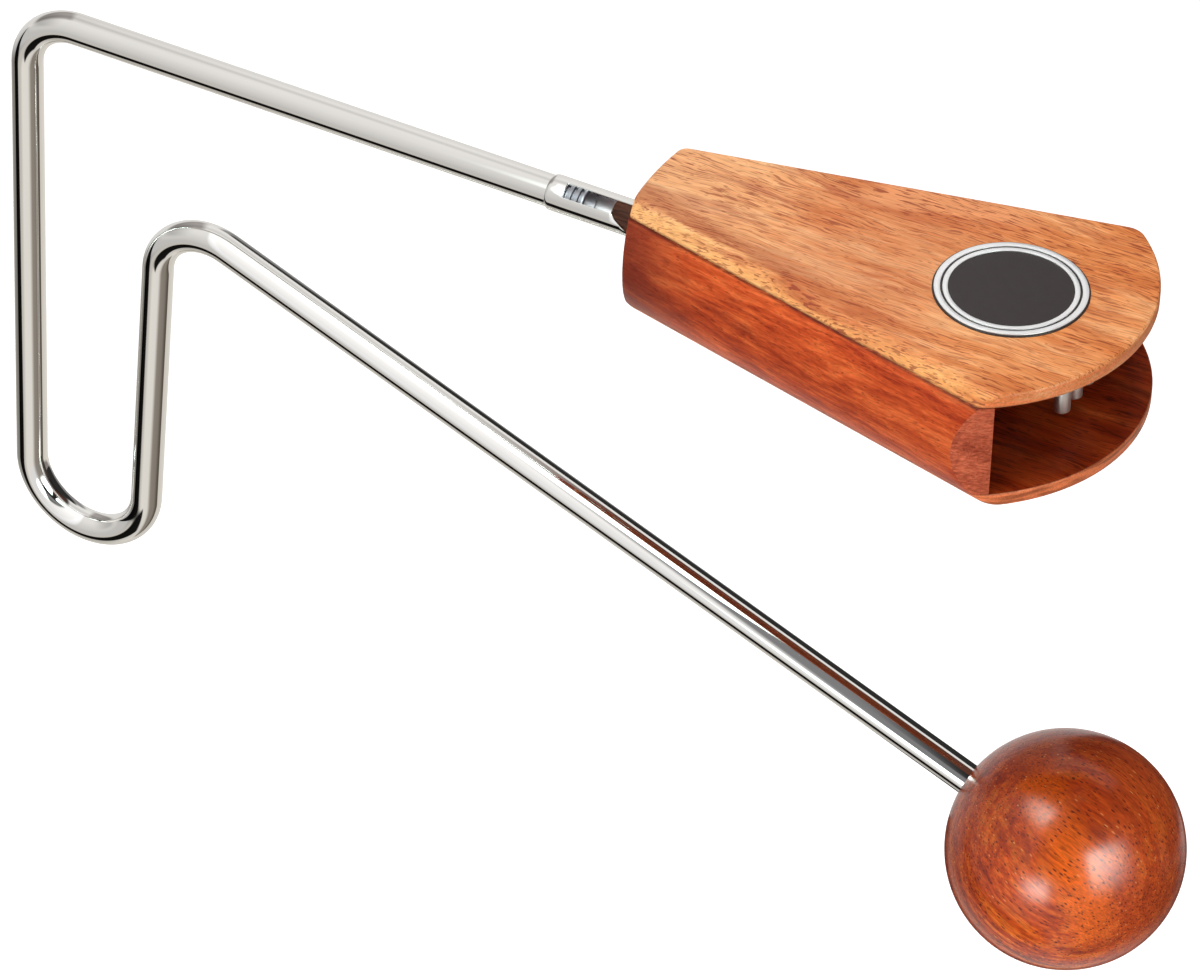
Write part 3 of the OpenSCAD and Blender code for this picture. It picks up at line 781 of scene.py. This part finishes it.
def slottedTree():
    tree, given = startTree("slottedRow", rowSizes + [("Slot", "Vector"), ("Slot Place", "Vector")])
    block = addNode(tree, "GeometryNodeMeshCube", {"Size": given["Slot"]})[0]
    block = addNode(tree, "GeometryNodeTransform", {"Geometry": block, "Translation": given["Slot Place"]})[0]
    cut = addNode(tree, "GeometryNodeMeshBoolean", {"Mesh 1": turnedShape(tree, given), "Mesh 2": block},
                  operation="DIFFERENCE")[0]
    return endTree(tree, inARow(tree, cut, given), given["Finish"])


rodSweep = sweepTree()
turnedRow = turnedTree()
slottedRow = slottedTree()


def newPiece(name, points, edges=(), faces=(), finishes=(), kinds=()):
    mesh = bpy.data.meshes.new(name)
    mesh.from_pydata([Vector(point) * mm for point in points], edges, faces)
    for finish in finishes:
        mesh.materials.append(finish)
    for face, kind in zip(mesh.polygons, kinds):
        face.material_index = kind
    piece = bpy.data.objects.new(name, mesh)
    scene.collection.objects.link(piece)
    return piece


def bakeModifiers(piece):
    graph = bpy.context.evaluated_depsgraph_get()
    shown = piece.evaluated_get(graph)
    made = bpy.data.meshes.new_from_object(shown, preserve_all_data_layers=True, depsgraph=graph)
    piece.modifiers.clear()
    piece.data = made
    made.name = piece.name


def growFrom(piece, tree, **values):
    maker = piece.modifiers.new(tree.name, "NODES")
    maker.node_group = tree
    for socket in tree.interface.items_tree:
        label = socket.name.replace(" ", "")
        label = label[0].lower() + label[1:]
        if socket.in_out == "INPUT" and label in values:
            maker[socket.identifier] = values[label]
    bakeModifiers(piece)


def tidyMesh(piece, sharp=32.0, merge=0.0):
    shell = bmesh.new()
    shell.from_mesh(piece.data)
    if merge:
        bmesh.ops.remove_doubles(shell, verts=shell.verts, dist=merge * mm)
    bmesh.ops.recalc_face_normals(shell, faces=shell.faces)
    for face in shell.faces:
        face.smooth = True
    shell.to_mesh(piece.data)
    shell.free()
    piece.data.set_sharp_from_angle(angle=math.radians(sharp))


def bevelEdges(piece, width, angle, sharp):
    bevel = piece.modifiers.new("softEdges", "BEVEL")
    bevel.width = width * mm
    bevel.segments = 2
    bevel.limit_method = "ANGLE"
    bevel.angle_limit = math.radians(angle)
    bevel.harden_normals = False
    bakeModifiers(piece)
    tidyMesh(piece, sharp)


def cutAway(piece, cutter):
    cut = piece.modifiers.new("cutAway", "BOOLEAN")
    cut.object = cutter
    cut.operation = "DIFFERENCE"
    cut.solver = "EXACT"
    bakeModifiers(piece)
    bpy.data.objects.remove(cutter)


def wirePiece(name, points, **marks):
    piece = newPiece(name, points, [(i, i + 1) for i in range(len(points) - 1)])
    for label, values in marks.items():
        piece.data.attributes.new(label, "FLOAT", "POINT").data.foreach_set("value", values)
    return piece


def turnedPiece(name, outline, finish, place, segments, sharp=40.0, tree=turnedRow, step=0.0, count=1,
                turn=(0.0, 0.0, 0.0), **values):
    piece = wirePiece(name, [(radius, 0.0, height) for radius, height in outline])
    growFrom(piece, tree, segments=segments, first=place * mm, step=(step * mm, 0.0, 0.0), count=count,
             turn=turn, finish=finish, **values)
    tidyMesh(piece, sharp)
    return piece


def strip(first, second):
    return [(first[i], first[i + 1], second[i + 1], second[i]) for i in range(len(first) - 1)]


def loftPiece(name, loops, finishes, kinds=()):
    count = len(loops[0])
    rings = [[ring * count + i % count for i in range(count + 1)] for ring in range(len(loops))]
    faces = []
    for ring in range(len(loops) - 1):
        faces += strip(rings[ring], rings[ring + 1])
    faces += [tuple(reversed(rings[0][:-1])), tuple(rings[-1][:-1])]
    piece = newPiece(name, [point for loop in loops for point in loop], (), faces, finishes, kinds)
    tidyMesh(piece)
    return piece


def arcPoints(centre, radius, start, end, count):
    angles = [start + (end - start) * i / count for i in range(count + 1)]
    return [Vector((centre[0] + radius * math.cos(a), centre[1] + radius * math.sin(a))) for a in angles]


def copyOf(node, name, finish):
    piece = bpy.data.objects.new(name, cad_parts[node].data.copy())
    scene.collection.objects.link(piece)
    shell = bmesh.new()
    shell.from_mesh(piece.data)
    bmesh.ops.remove_doubles(shell, verts=shell.verts, dist=meshCare["copyWeld"] * mm)
    flat = math.radians(meshCare["copyFlat"])
    bmesh.ops.dissolve_limit(shell, angle_limit=flat, verts=shell.verts, edges=shell.edges)
    shell.to_mesh(piece.data)
    shell.free()
    piece.data.materials.clear()
    piece.data.materials.append(finish)
    return piece


def settle(piece, body, slot, *nodes):
    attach(piece, body)
    if nodes:
        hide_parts(*nodes)
    print("piece %s: %d faces" % (piece.name, len(piece.data.polygons)))


rod = {
    "radius": 4.0, "facets": 56, "tipX": 157.5, "tipRound": 0.6, "tipSteps": 5,
    "grooves": 3, "grooveWidth": 0.9, "grooveSide": [(0.0, 0.0), (0.08, 0.12), (0.2, 0.5)],  # reach and depth
    "frontBend": {"centre": (14.7791, -15.0), "radius": 15.0, "start": 90.0, "sweep": 89.15},
    "loop": {"centre": (15.1416, -137.0), "radius": 17.1723, "start": 179.15, "sweep": 177.4},
    "backBend": {"centre": (51.7334, -64.6618), "radius": 15.0, "start": 176.55, "sweep": -107.87},
    "pastMiddle": 5.9, "bendStep": 2.0, "runStep": 8.0,
}


def bendPoints(bend):
    count = int(abs(bend["sweep"]) / rod["bendStep"]) + 1
    start, end = math.radians(bend["start"]), math.radians(bend["start"] + bend["sweep"])
    arc = arcPoints(bend["centre"], bend["radius"], start, end, count)
    return [Vector((point.x, 0.0, point.y)) for point in arc]


def tipStations():
    radius, soft, width = rod["radius"], rod["tipRound"], rod["grooveWidth"]
    stations = arcPoints((soft, radius - soft), soft, math.pi, math.pi / 2, rod["tipSteps"])
    for i in range(rod["grooves"]):
        start = width * (2 * i + 1)
        stations += [(start + reach, radius - depth) for reach, depth in rod["grooveSide"]]
        stations += [(start + width - reach, radius - depth) for reach, depth in reversed(rod["grooveSide"])]
    return stations


def makeRod():
    tip = tipStations()
    points = [Vector((rod["tipX"] - reach, 0.0, 0.0)) for reach, radius in tip]
    legs = [bendPoints(rod[key]) for key in ("frontBend", "loop", "backBend")]
    legs.append([ballOffset + (ballOffset - legs[-1][-1]).normalized() * rod["pastMiddle"]])
    for leg in legs:
        start = points[-1]
        count = max(1, int((leg[0] - start).length / rod["runStep"]))
        points += [start.lerp(leg[0], i / count) for i in range(1, count)]
        points += leg
    girths = [radius / rod["radius"] for reach, radius in tip]
    girths += [1.0] * (len(points) - len(tip))
    lengths = [0.0]
    for i in range(1, len(points)):
        lengths.append(lengths[-1] + (points[i] - points[i - 1]).length)
    piece = wirePiece("bentRod", [cornerPlace + point for point in points], girth=girths, along=lengths)
    growFrom(piece, rodSweep, radius=rod["radius"] * mm, facets=rod["facets"], finish=rodChrome)
    tidyMesh(piece, sharp=50.0)
    settle(piece, "frame", "rod_chrome", "bent_rod")


makeRod()

# The lip is the bore's rounded edge, outwards and down, in shares of boreRound.
ball = {"radius": 29.385, "boreRadius": 4.03, "boreDepth": 22.0, "boreRound": 0.5,
        "lip": [(0.0, 1.6), (0.12, 0.6), (0.4, 0.2)], "segments": 144, "steps": 96}


def makeBall():
    radius, bore, soft = ball["radius"], ball["boreRadius"], ball["boreRound"]
    edge = math.asin((bore + soft) / radius)
    lip = radius * math.cos(edge)
    outline = [(0.0, radius - ball["boreDepth"]), (bore, radius - ball["boreDepth"])]
    outline += [(bore + out * soft, lip - down * soft) for out, down in ball["lip"]]
    outline += arcPoints((0.0, 0.0), radius, math.pi / 2 - edge, -math.pi / 2, ball["steps"])
    outline[-1] = (0.0, -radius)
    towardsRod = cornerPlace + bendPoints(rod["backBend"])[-1] - ballPlace
    turn = tuple(towardsRod.to_track_quat("Z", "Y").to_euler())
    piece = turnedPiece("turnedBall", outline, ballWood, ballPlace, ball["segments"], turn=turn)
    settle(piece, "frame", "ball_wood", "ball")


makeBall()

socket = {
    "start": -27.4, "end": 38.3, "outer": 4.5, "inner": 4.0, "boreEnd": 2.8, "facets": 72, "softEdge": 0.12,
    "lip": 1.2, "lipTurns": (165, 140, 115, 90, 65, 40, 20, 0), "weld": 0.001,
    "windowStart": -22.7, "windowWidth": 3.8, "windowTurn": 34.0, "windowSteps": 8, "windowFacets": 10,
    "middle": 12.0, "benchStart": 23.3, "benchStep": 0.01, "benchMiddle": 30.0, "benchHeight": 2.0,
    # the slanted end of the window, along the tube and round it
    "scarf": [(-9.6, -2.2), (-9.2, -0.5), (-8.3, 0.6), (-5.0, 2.9), (-4.2, 3.4), (1.5, 3.4), (1.5, -2.2)],
    "scarfTurn": 155.0, "scarfDepth": (1.0, 6.0),
}


def scarfCutter():
    turn = math.radians(socket["scarfTurn"])
    outwards = Vector((0.0, math.cos(turn), math.sin(turn)))
    around = Vector((0.0, -math.sin(turn), math.cos(turn)))
    outline = [boxPlace + Vector((x, 0.0, 0.0)) + around * t for x, t in socket["scarf"]]
    loops = [[point + outwards * depth for point in outline] for depth in socket["scarfDepth"]]
    return loftPiece("scarfCutter", loops, [socketChrome])


def socketStations():
    # place along the tube and radius, from the bottom of the bore to the lip and back along the outside
    first, steps = socket["windowStart"], socket["windowSteps"]
    window = [first + (socket["boreEnd"] - first) * i / steps for i in range(steps + 1)]
    bore = [(socket["boreEnd"], 0.0)] + [(x, socket["inner"]) for x in reversed(window)]
    bore.append((socket["start"] + socket["lip"], socket["inner"]))
    lip, wall = [], socket["outer"] - socket["inner"]
    for turn in socket["lipTurns"]:
        along, out = 1.0 - math.sin(math.radians(turn)), math.cos(math.radians(turn))
        lip.append((socket["start"] + socket["lip"] * along, socket["inner"] + wall * out))
    bench = socket["benchStart"]
    further = [socket["middle"], bench - socket["benchStep"], bench, socket["benchMiddle"], socket["end"]]
    outside = [(x, socket["outer"]) for x in window + further] + [(socket["end"], 0.0)]
    return bore, lip, outside


def makeSocket():
    half = math.asin(socket["windowWidth"] / 2 / socket["outer"])
    middle = math.radians(90.0 + socket["windowTurn"])  # measured from +Y to +Z, so that it leans to -Y
    count, gap, steps = socket["facets"], socket["windowFacets"], socket["windowSteps"]
    angles = [middle - half + 2 * half * i / gap for i in range(gap)]
    angles += [middle + half + (math.tau - 2 * half) * i / (count - gap) for i in range(count - gap)]
    bore, lip, outside = socketStations()
    chain = bore + lip + outside
    points = []
    for x, radius in chain:
        top = socket["benchHeight"] if x >= socket["benchStart"] else radius
        ring = [(radius * math.cos(a), radius * math.sin(a)) for a in angles]
        points += [boxPlace + Vector((x, y, min(top, z))) for y, z in ring]
    boreFirst, boreLast = 1, 1 + steps  # stations of the window in the bore and on the outside
    outFirst, outLast = len(bore + lip), len(bore + lip) + steps

    def at(station, facet):
        return station * count + facet % count

    faces, kinds = [], []
    for s in range(len(chain) - 1):
        isOpen = boreFirst <= s < boreLast or outFirst <= s < outLast
        around = range(gap if isOpen else 0, count + 1)
        made = strip([at(s, a) for a in around], [at(s + 1, a) for a in around])
        faces += made
        kinds += [int(s < len(bore))] * len(made)
    for facet in (0, gap):
        faces += strip([at(boreLast - i, facet) for i in range(steps + 1)],
                       [at(outFirst + i, facet) for i in range(steps + 1)])
    for inner, outer in ((boreLast, outFirst), (boreFirst, outLast)):
        faces += strip([at(inner, a) for a in range(gap + 1)], [at(outer, a) for a in range(gap + 1)])
    piece = newPiece("rodSocket", points, (), faces, [socketChrome, boreSteel], kinds)
    tidyMesh(piece, merge=socket["weld"])
    cutAway(piece, scarfCutter())
    tidyMesh(piece, merge=socket["weld"])
    bevelEdges(piece, socket["softEdge"], angle=40.0, sharp=45.0)
    settle(piece, "frame", "rod_chrome", "rod_socket")


makeSocket()

# the wooden peg that shows in the window; its dark brown is painted shade inside the tube
peg = {"start": -9.9, "end": 2.6, "radius": 3.93, "edge": [(0.7, 0.0), (0.2, 0.2), (0.0, 0.7)],
       "segments": 56}


def makePeg():
    start, end, radius = peg["start"], peg["end"], peg["radius"]
    outline = [(0.0, start)] + [(radius - inwards, start + along) for inwards, along in peg["edge"]]
    outline += [(radius, 0.5 * (start + end)), (radius, end), (0.0, end)]
    turn = (0.0, math.pi / 2, 0.0)
    piece = turnedPiece("nosePeg", outline, pegWood, boxPlace, peg["segments"], turn=turn)
    settle(piece, "frame", "cheek_wood")


makePeg()

box = {
    "length": 126.7, "narrowHalf": 14.9, "wideHalf": 45.1, "insideHalf": 12.4, "plate": 3.8, "barrel": 21.0,
    "cheekSeat": 2.9, "mouthRadius": 48.0, "noseRadius": 85.0,
    "mouthCorner": (4.0, 5.5), "noseCorner": (1.0, 2.8),  # radii at the inner and the outer face
    "crease": 2.6, "mouthEdge": 1.0, "seam": 0.22, "seamInsets": (0.32, 0.12), "seamShare": 0.3,
    "margin": 5.0, "blockEdge": 0.2,
    "plateSteps": {"nose": 14, "noseCorner": 8, "side": 40, "mouthCorner": 10, "mouth": 32, "wall": 5,
                   "crease": 8},
    "cheekSteps": {"height": 26, "side": 44, "end": 6},
    "screwFirst": 7.0, "screwGap": 8.0, "screwSegments": 48,
    "seatRadius": 4.0, "seatBottom": 2.2, "seatDepth": 2.2, "seatSpare": 1.0,  # cut for the screws' heads
}
taper = math.atan((box["wideHalf"] - box["narrowHalf"]) / box["length"])
barrelIn = math.sqrt(box["barrel"] ** 2 - box["insideHalf"] ** 2)
mouthCentre = (box["length"] - box["mouthRadius"], 0.0)
noseCentre = (box["noseRadius"], 0.0)
screwPlace = boxPlace + Vector((box["screwFirst"], 0.0, 0.0))


def barrelOut(height):
    return math.sqrt(box["barrel"] ** 2 - height ** 2) - barrelIn


def alongSide(out, centre, radius, far):
    # where the side line towards -Y, moved outwards, meets a circle
    start = Vector((-out * math.sin(taper), -box["narrowHalf"] - out * math.cos(taper)))
    way = Vector((math.cos(taper), -math.sin(taper)))
    gap = start - Vector(centre)
    half = gap.dot(way)
    root = math.sqrt(half * half - gap.length_squared + radius * radius)
    return start + way * (-half + (root if far else -root))


def sideAtMouth(out, inset=0.0):
    return alongSide(out, mouthCentre, box["mouthRadius"] - inset, True)


def sideAtNose(out, inset=0.0):
    return alongSide(out, noseCentre, box["noseRadius"] - inset, False)


def angleOf(point, centre):
    return math.atan2(point.y - centre[1], point.x - centre[0])


def plateOutline(out, inset, rise):
    # half of the outline, from the middle of the nose along the -Y side to the middle of the mouth, and back
    outwards = math.atan2(-math.cos(taper), -math.sin(taper))
    soft, sharp = (low + (high - low) * rise for low, high in (box["mouthCorner"], box["noseCorner"]))
    mouthSpot = sideAtMouth(out - soft, inset + soft)
    noseSpot = sideAtNose(out - sharp, inset + sharp)
    mouthAngle, noseAngle = angleOf(mouthSpot, mouthCentre), angleOf(noseSpot, noseCentre)
    steps = box["plateSteps"]
    half = arcPoints(noseCentre, box["noseRadius"] - inset, -math.pi, noseAngle, steps["nose"])[:-1]
    half += arcPoints(noseSpot, sharp, noseAngle, outwards, steps["noseCorner"])
    bend = arcPoints(mouthSpot, soft, outwards, mouthAngle, steps["mouthCorner"])
    start = half[-1]
    half += [start.lerp(bend[0], i / steps["side"]) for i in range(1, steps["side"])]
    half += bend[:-1]
    half += arcPoints(mouthCentre, box["mouthRadius"] - inset, mouthAngle, 0.0, steps["mouth"])
    return half + [Vector((point.x, -point.y)) for point in reversed(half[1:-1])]


def plateRings():
    # height above the middle, reach beyond the side line, and inset at the two ends
    low, top, crease = box["insideHalf"], box["insideHalf"] + box["plate"], box["crease"]
    edge, seam, margin, steps = box["mouthEdge"], box["seam"], box["margin"], box["plateSteps"]

    def insetAt(height):
        rise = max(0.0, height - (top - edge))
        return edge - math.sqrt(max(0.0, edge * edge - rise * rise))

    creaseHeight = top - crease
    creaseOut = math.sqrt((box["barrel"] - crease) ** 2 - creaseHeight ** 2) - barrelIn
    begin = math.atan2(creaseHeight, creaseOut + barrelIn)
    inner, outer = box["seamInsets"]
    part = box["seamShare"] * seam
    rings = [(low, barrelOut(low) - margin, margin), (low, barrelOut(low) - seam, inner),
             (low + part, barrelOut(low) - part, outer), (low + seam, barrelOut(low + seam), 0.0)]
    last = creaseHeight + crease * math.sin(begin)
    for i in range(1, steps["wall"]):
        height = low + seam + (last - low - seam) * i / steps["wall"]
        rings.append((height, barrelOut(height), insetAt(height)))
    for point in arcPoints((creaseOut, creaseHeight), crease, begin, math.pi / 2, steps["crease"]):
        rings.append((point.y, point.x, insetAt(point.y)))
    return rings + [(top, creaseOut - margin, edge + margin)]


def makePlate(name, side, outer):
    loops = []
    for height, out, inset in plateRings():
        outline = plateOutline(out, inset, (height - box["insideHalf"]) / box["plate"])
        loops.append([boxPlace + Vector((point.x, point.y, side * height)) for point in outline])
    count = len(loops[0])
    kinds = [1] * count + [0] * (count * (len(loops) - 2)) + [1, 0]  # 1 is the inside of the box
    piece = loftPiece(name, loops, [outer, insideWood], kinds)
    tidyMesh(piece, sharp=40.0)
    return piece


def makeCheek(name, side, node):
    levels, run, across = (box["cheekSteps"][key] for key in ("height", "side", "end"))
    loops = []
    for level in range(levels + 1):
        height = box["insideHalf"] * (2 * level / levels - 1)
        mouth, innerMouth = (sideAtMouth(out) for out in (barrelOut(height), -box["cheekSeat"]))
        nose, innerNose = (sideAtNose(out) for out in (barrelOut(height), -box["cheekSeat"]))
        loop = [nose.lerp(mouth, i / run) for i in range(run)]
        loop += arcPoints(mouthCentre, box["mouthRadius"], angleOf(mouth, mouthCentre),
                          angleOf(innerMouth, mouthCentre), across)[:-1]
        loop += [innerMouth.lerp(innerNose, i / run) for i in range(run)]
        loop += arcPoints(noseCentre, box["noseRadius"], angleOf(innerNose, noseCentre),
                          angleOf(nose, noseCentre), across)[:-1]
        loops.append([boxPlace + Vector((point.x, -side * point.y, height)) for point in loop])
    kinds = ([0] * run + [1] * across + [2] * run + [1] * across) * levels  # outside, ends, inside
    piece = loftPiece(name, loops, [cheekWood, cheekEnd, insideWood], kinds)
    bevelEdges(piece, box["seam"], angle=35.0, sharp=38.0)
    settle(piece, "frame", "cheek_wood", node)


def screwSeats():
    under, depth, spare = -box["insideHalf"] - box["plate"], box["seatDepth"], box["seatSpare"]
    wide, bottom = box["seatRadius"], box["seatBottom"]
    outline = [(0.0, under - spare), (wide, under - spare), (wide, under), (bottom, under + depth),
               (0.0, under + depth)]
    return turnedPiece("screwSeats", outline, baseWood, screwPlace, box["screwSegments"],
                       step=box["screwGap"], count=2)


def makeSoundBox():
    settle(makePlate("topPlate", 1, plateWood), "frame", "plate_wood", "top_plate")
    bottom = makePlate("bottomPlate", -1, baseWood)
    cutAway(bottom, screwSeats())
    tidyMesh(bottom, sharp=40.0)
    settle(bottom, "frame", "plate_wood", "bottom_plate")
    makeCheek("leftCheek", 1, "left_cheek")
    makeCheek("rightCheek", -1, "right_cheek")
    block = copyOf("nose_block", "noseBlock", cheekEnd)
    bevelEdges(block, box["blockEdge"], angle=35.0, sharp=38.0)
    settle(block, "frame", "cheek_wood", "nose_block")


makeSoundBox()

# Glue squeezed out along the inner corners; its waves are given by pace, shift from bead to bead and size.
glue = {"radius": 0.8, "facets": 14, "step": 1.6, "noseInset": 23.5, "mouthInset": 1.2, "girth": 0.75,
        "waves": [(0.9, 1.0, 0.22), (2.3, 2.0, 0.16)], "swell": 0.9, "swellSteps": 3.0}


def makeGlue():
    mouth = sideAtMouth(-box["cheekSeat"], glue["mouthInset"])
    nose = sideAtNose(-box["cheekSeat"], glue["noseInset"])
    count = int((mouth - nose).length / glue["step"])
    spots = [nose.lerp(mouth, i / count) for i in range(count + 1)]
    for number, (side, level) in enumerate(((-1, 1), (-1, -1), (1, 1), (1, -1))):
        points = [boxPlace + Vector((spot.x, -side * spot.y, level * box["insideHalf"])) for spot in spots]
        girths = []
        for i in range(count + 1):
            wave = sum(size * math.sin(pace * i + shift * number) for pace, shift, size in glue["waves"])
            swell = glue["swell"] * max(0.0, 1.0 - (count - i) / glue["swellSteps"])
            girths.append(glue["girth"] + wave + swell)
        piece = wirePiece("glueBead%d" % (number + 1), points, girth=girths)
        growFrom(piece, rodSweep, radius=glue["radius"] * mm, facets=glue["facets"], finish=driedGlue)
        tidyMesh(piece, sharp=60.0)
        settle(piece, "frame", "cheek_wood")


makeGlue()

tongue = {"softEdge": 0.18}
tailRivets = {"first": 28.5, "gap": 6.0, "low": -4.2, "top": 3.2, "shank": 1.25, "head": 2.2,
              "headHeight": 1.2, "tipEdge": 0.2, "headEdge": 0.1, "headSteps": 8, "segments": 32}
looseRivets = {"rows": 3, "inRow": 3, "first": 111.2, "gapX": 12.0, "gapY": 6.4, "low": -7.5,
               "seat": 3.25, "shank": 2.0, "head": 3.0, "headHeight": 2.0, "tipRound": 0.6, "tipSteps": 5,
               "shankStations": (-4.0, 0.0), "neck": [(0.0, 0.25), (0.08, 0.06), (0.3, 0.0)],
               "headEdge": 0.12, "rimLift": 0.1, "headSteps": 10, "segments": 40}


def makeTongue():
    piece = copyOf("rattle_plate", "rattlePlate", dullSteel)
    bevelEdges(piece, tongue["softEdge"], angle=40.0, sharp=40.0)
    settle(piece, "frame", "steel", "rattle_plate")


def makeTailRivets():
    size = tailRivets
    shank, head, low, top, edge = size["shank"], size["head"], size["low"], size["top"], size["headEdge"]
    outline = [(0.0, low), (shank - size["tipEdge"], low), (shank, low + size["tipEdge"]), (shank, top),
               (head - edge, top)]
    for i in range(size["headSteps"]):
        angle = math.pi / 2 * i / size["headSteps"]
        outline.append((head * math.cos(angle), top + edge + (size["headHeight"] - edge) * math.sin(angle)))
    outline.append((0.0, top + size["headHeight"]))
    piece = turnedPiece("tailRivets", outline, dullSteel, boxPlace + Vector((size["first"], 0.0, 0.0)),
                        size["segments"], step=size["gap"], count=2)
    settle(piece, "frame", "steel", "tail_rivets")


def looseOutline():
    size = looseRivets
    shank, seat, soft, steps = size["shank"], size["seat"], size["tipRound"], size["headSteps"]
    dome = (size["head"] ** 2 + size["headHeight"] ** 2) / (2 * size["headHeight"])
    wide = math.asin(size["head"] / dome)
    outline = [(0.0, size["low"])]
    outline += arcPoints((shank - soft, size["low"] + soft), soft, -math.pi / 2, 0.0, size["tipSteps"])
    outline += [(shank, height) for height in size["shankStations"]]
    outline += [(shank + out, seat - down) for out, down in size["neck"]]
    outline.append((size["head"] - size["headEdge"], seat))
    for i in range(steps):
        share = 1.0 - i / steps
        drop = dome * (1.0 - math.cos(wide * share)) - size["rimLift"] * share
        outline.append((dome * math.sin(wide * share), seat + size["headHeight"] - drop))
    return outline + [(0.0, seat + size["headHeight"])]


def makeLooseRivets():
    size = looseRivets
    for i in range(size["rows"] * size["inRow"]):
        row, number = divmod(i, size["inRow"])
        across = (number - size["inRow"] // 2) * size["gapY"]
        spot = boxPlace + Vector((size["first"] - row * size["gapX"], across, 0.0))
        piece = turnedPiece("looseRivet%d" % (i + 1), looseOutline(), rivetSteel, spot, size["segments"])
        settle(piece, "rivet_%d" % (i + 1), "rivet_steel", "rivet_%d" % (i + 1))


makeTongue()
makeTailRivets()
makeLooseRivets()

# screws under the nose
screws = {"low": -16.2, "head": 3.5, "shank": 1.8, "headHeight": 1.9, "top": -4.55, "tipEdge": 0.2,
          "headEdge": [(0.35, 0.0), (0.1, 0.06), (0.0, 0.2)], "slot": (9.0, 1.0, 2.0)}


def makeScrews():
    low, shank, top = screws["low"], screws["shank"], screws["top"]
    outline = [(0.0, low)] + [(screws["head"] - inwards, low + up) for inwards, up in screws["headEdge"]]
    outline += [(shank, low + screws["headHeight"]), (shank, top - screws["tipEdge"]), (0.0, top)]
    piece = turnedPiece("noseScrews", outline, dullSteel, screwPlace, box["screwSegments"], sharp=35.0,
                        tree=slottedRow, step=box["screwGap"], count=2,
                        slot=tuple(Vector(screws["slot"]) * mm), slotPlace=(0.0, 0.0, low * mm))
    settle(piece, "frame", "steel", "nose_screws")


makeScrews()

# The disc's rings on its top, as shares of the radius, keep the shading flat there.
badge = {"place": 93.5, "base": 16.2, "radius": 18.4, "thick": 0.4, "sunk": 0.1, "edge": (0.05, 0.16),
         "topRings": (0.93, 0.80, 0.4), "ring": 0.2, "ringSunk": 0.05, "ringEdge": 0.03, "edgeShare": 0.3,
         "rings": ((0.897, 0.976), (0.80, 0.866)), "segments": 160}
badgePlace = boxPlace + Vector((badge["place"], 0.0, 0.0))
badgeTop = badge["base"] + badge["thick"]


def makeBadgeDisc():
    base, top, radius, sunk = badge["base"], badgeTop, badge["radius"], badge["sunk"]
    small, wide = badge["edge"]
    outline = [(0.0, base - sunk), (radius - sunk, base - sunk), (radius, base), (radius, top - wide),
               (radius - small, top - small), (radius - wide, top)]
    outline += [(radius * share, top) for share in badge["topRings"]] + [(0.0, top)]
    field = fieldMaterial("badgeField", fieldLook, badgePlace)
    settle(turnedPiece("badgeDisc", outline, field, badgePlace, badge["segments"], sharp=50.0),
           "frame", "badge_dark", "badge_plate")


def makeBadgeRings():
    low, high, soft = badgeTop - badge["ringSunk"], badgeTop + badge["ring"], badge["ringEdge"]
    part = badge["edgeShare"] * soft
    rings, joined = [], bmesh.new()
    for shares in badge["rings"]:
        inner, outer = (share * badge["radius"] for share in shares)
        outline = [(inner, low), (inner, high - soft), (inner + part, high - part),
                   (inner + soft, high), (outer - soft, high), (outer - part, high - part),
                   (outer, high - soft), (outer, low), (inner, low)]
        ring = turnedPiece("badgeRings", outline, badgeSilver, badgePlace, badge["segments"], sharp=50.0)
        rings.append(ring)
        joined.from_mesh(ring.data)
    joined.to_mesh(rings[0].data)
    joined.free()
    bpy.data.objects.remove(rings[1])
    tidyMesh(rings[0], sharp=50.0)
    settle(rings[0], "frame", "badge_silver", "badge_rings")


makeBadgeDisc()
makeBadgeRings()
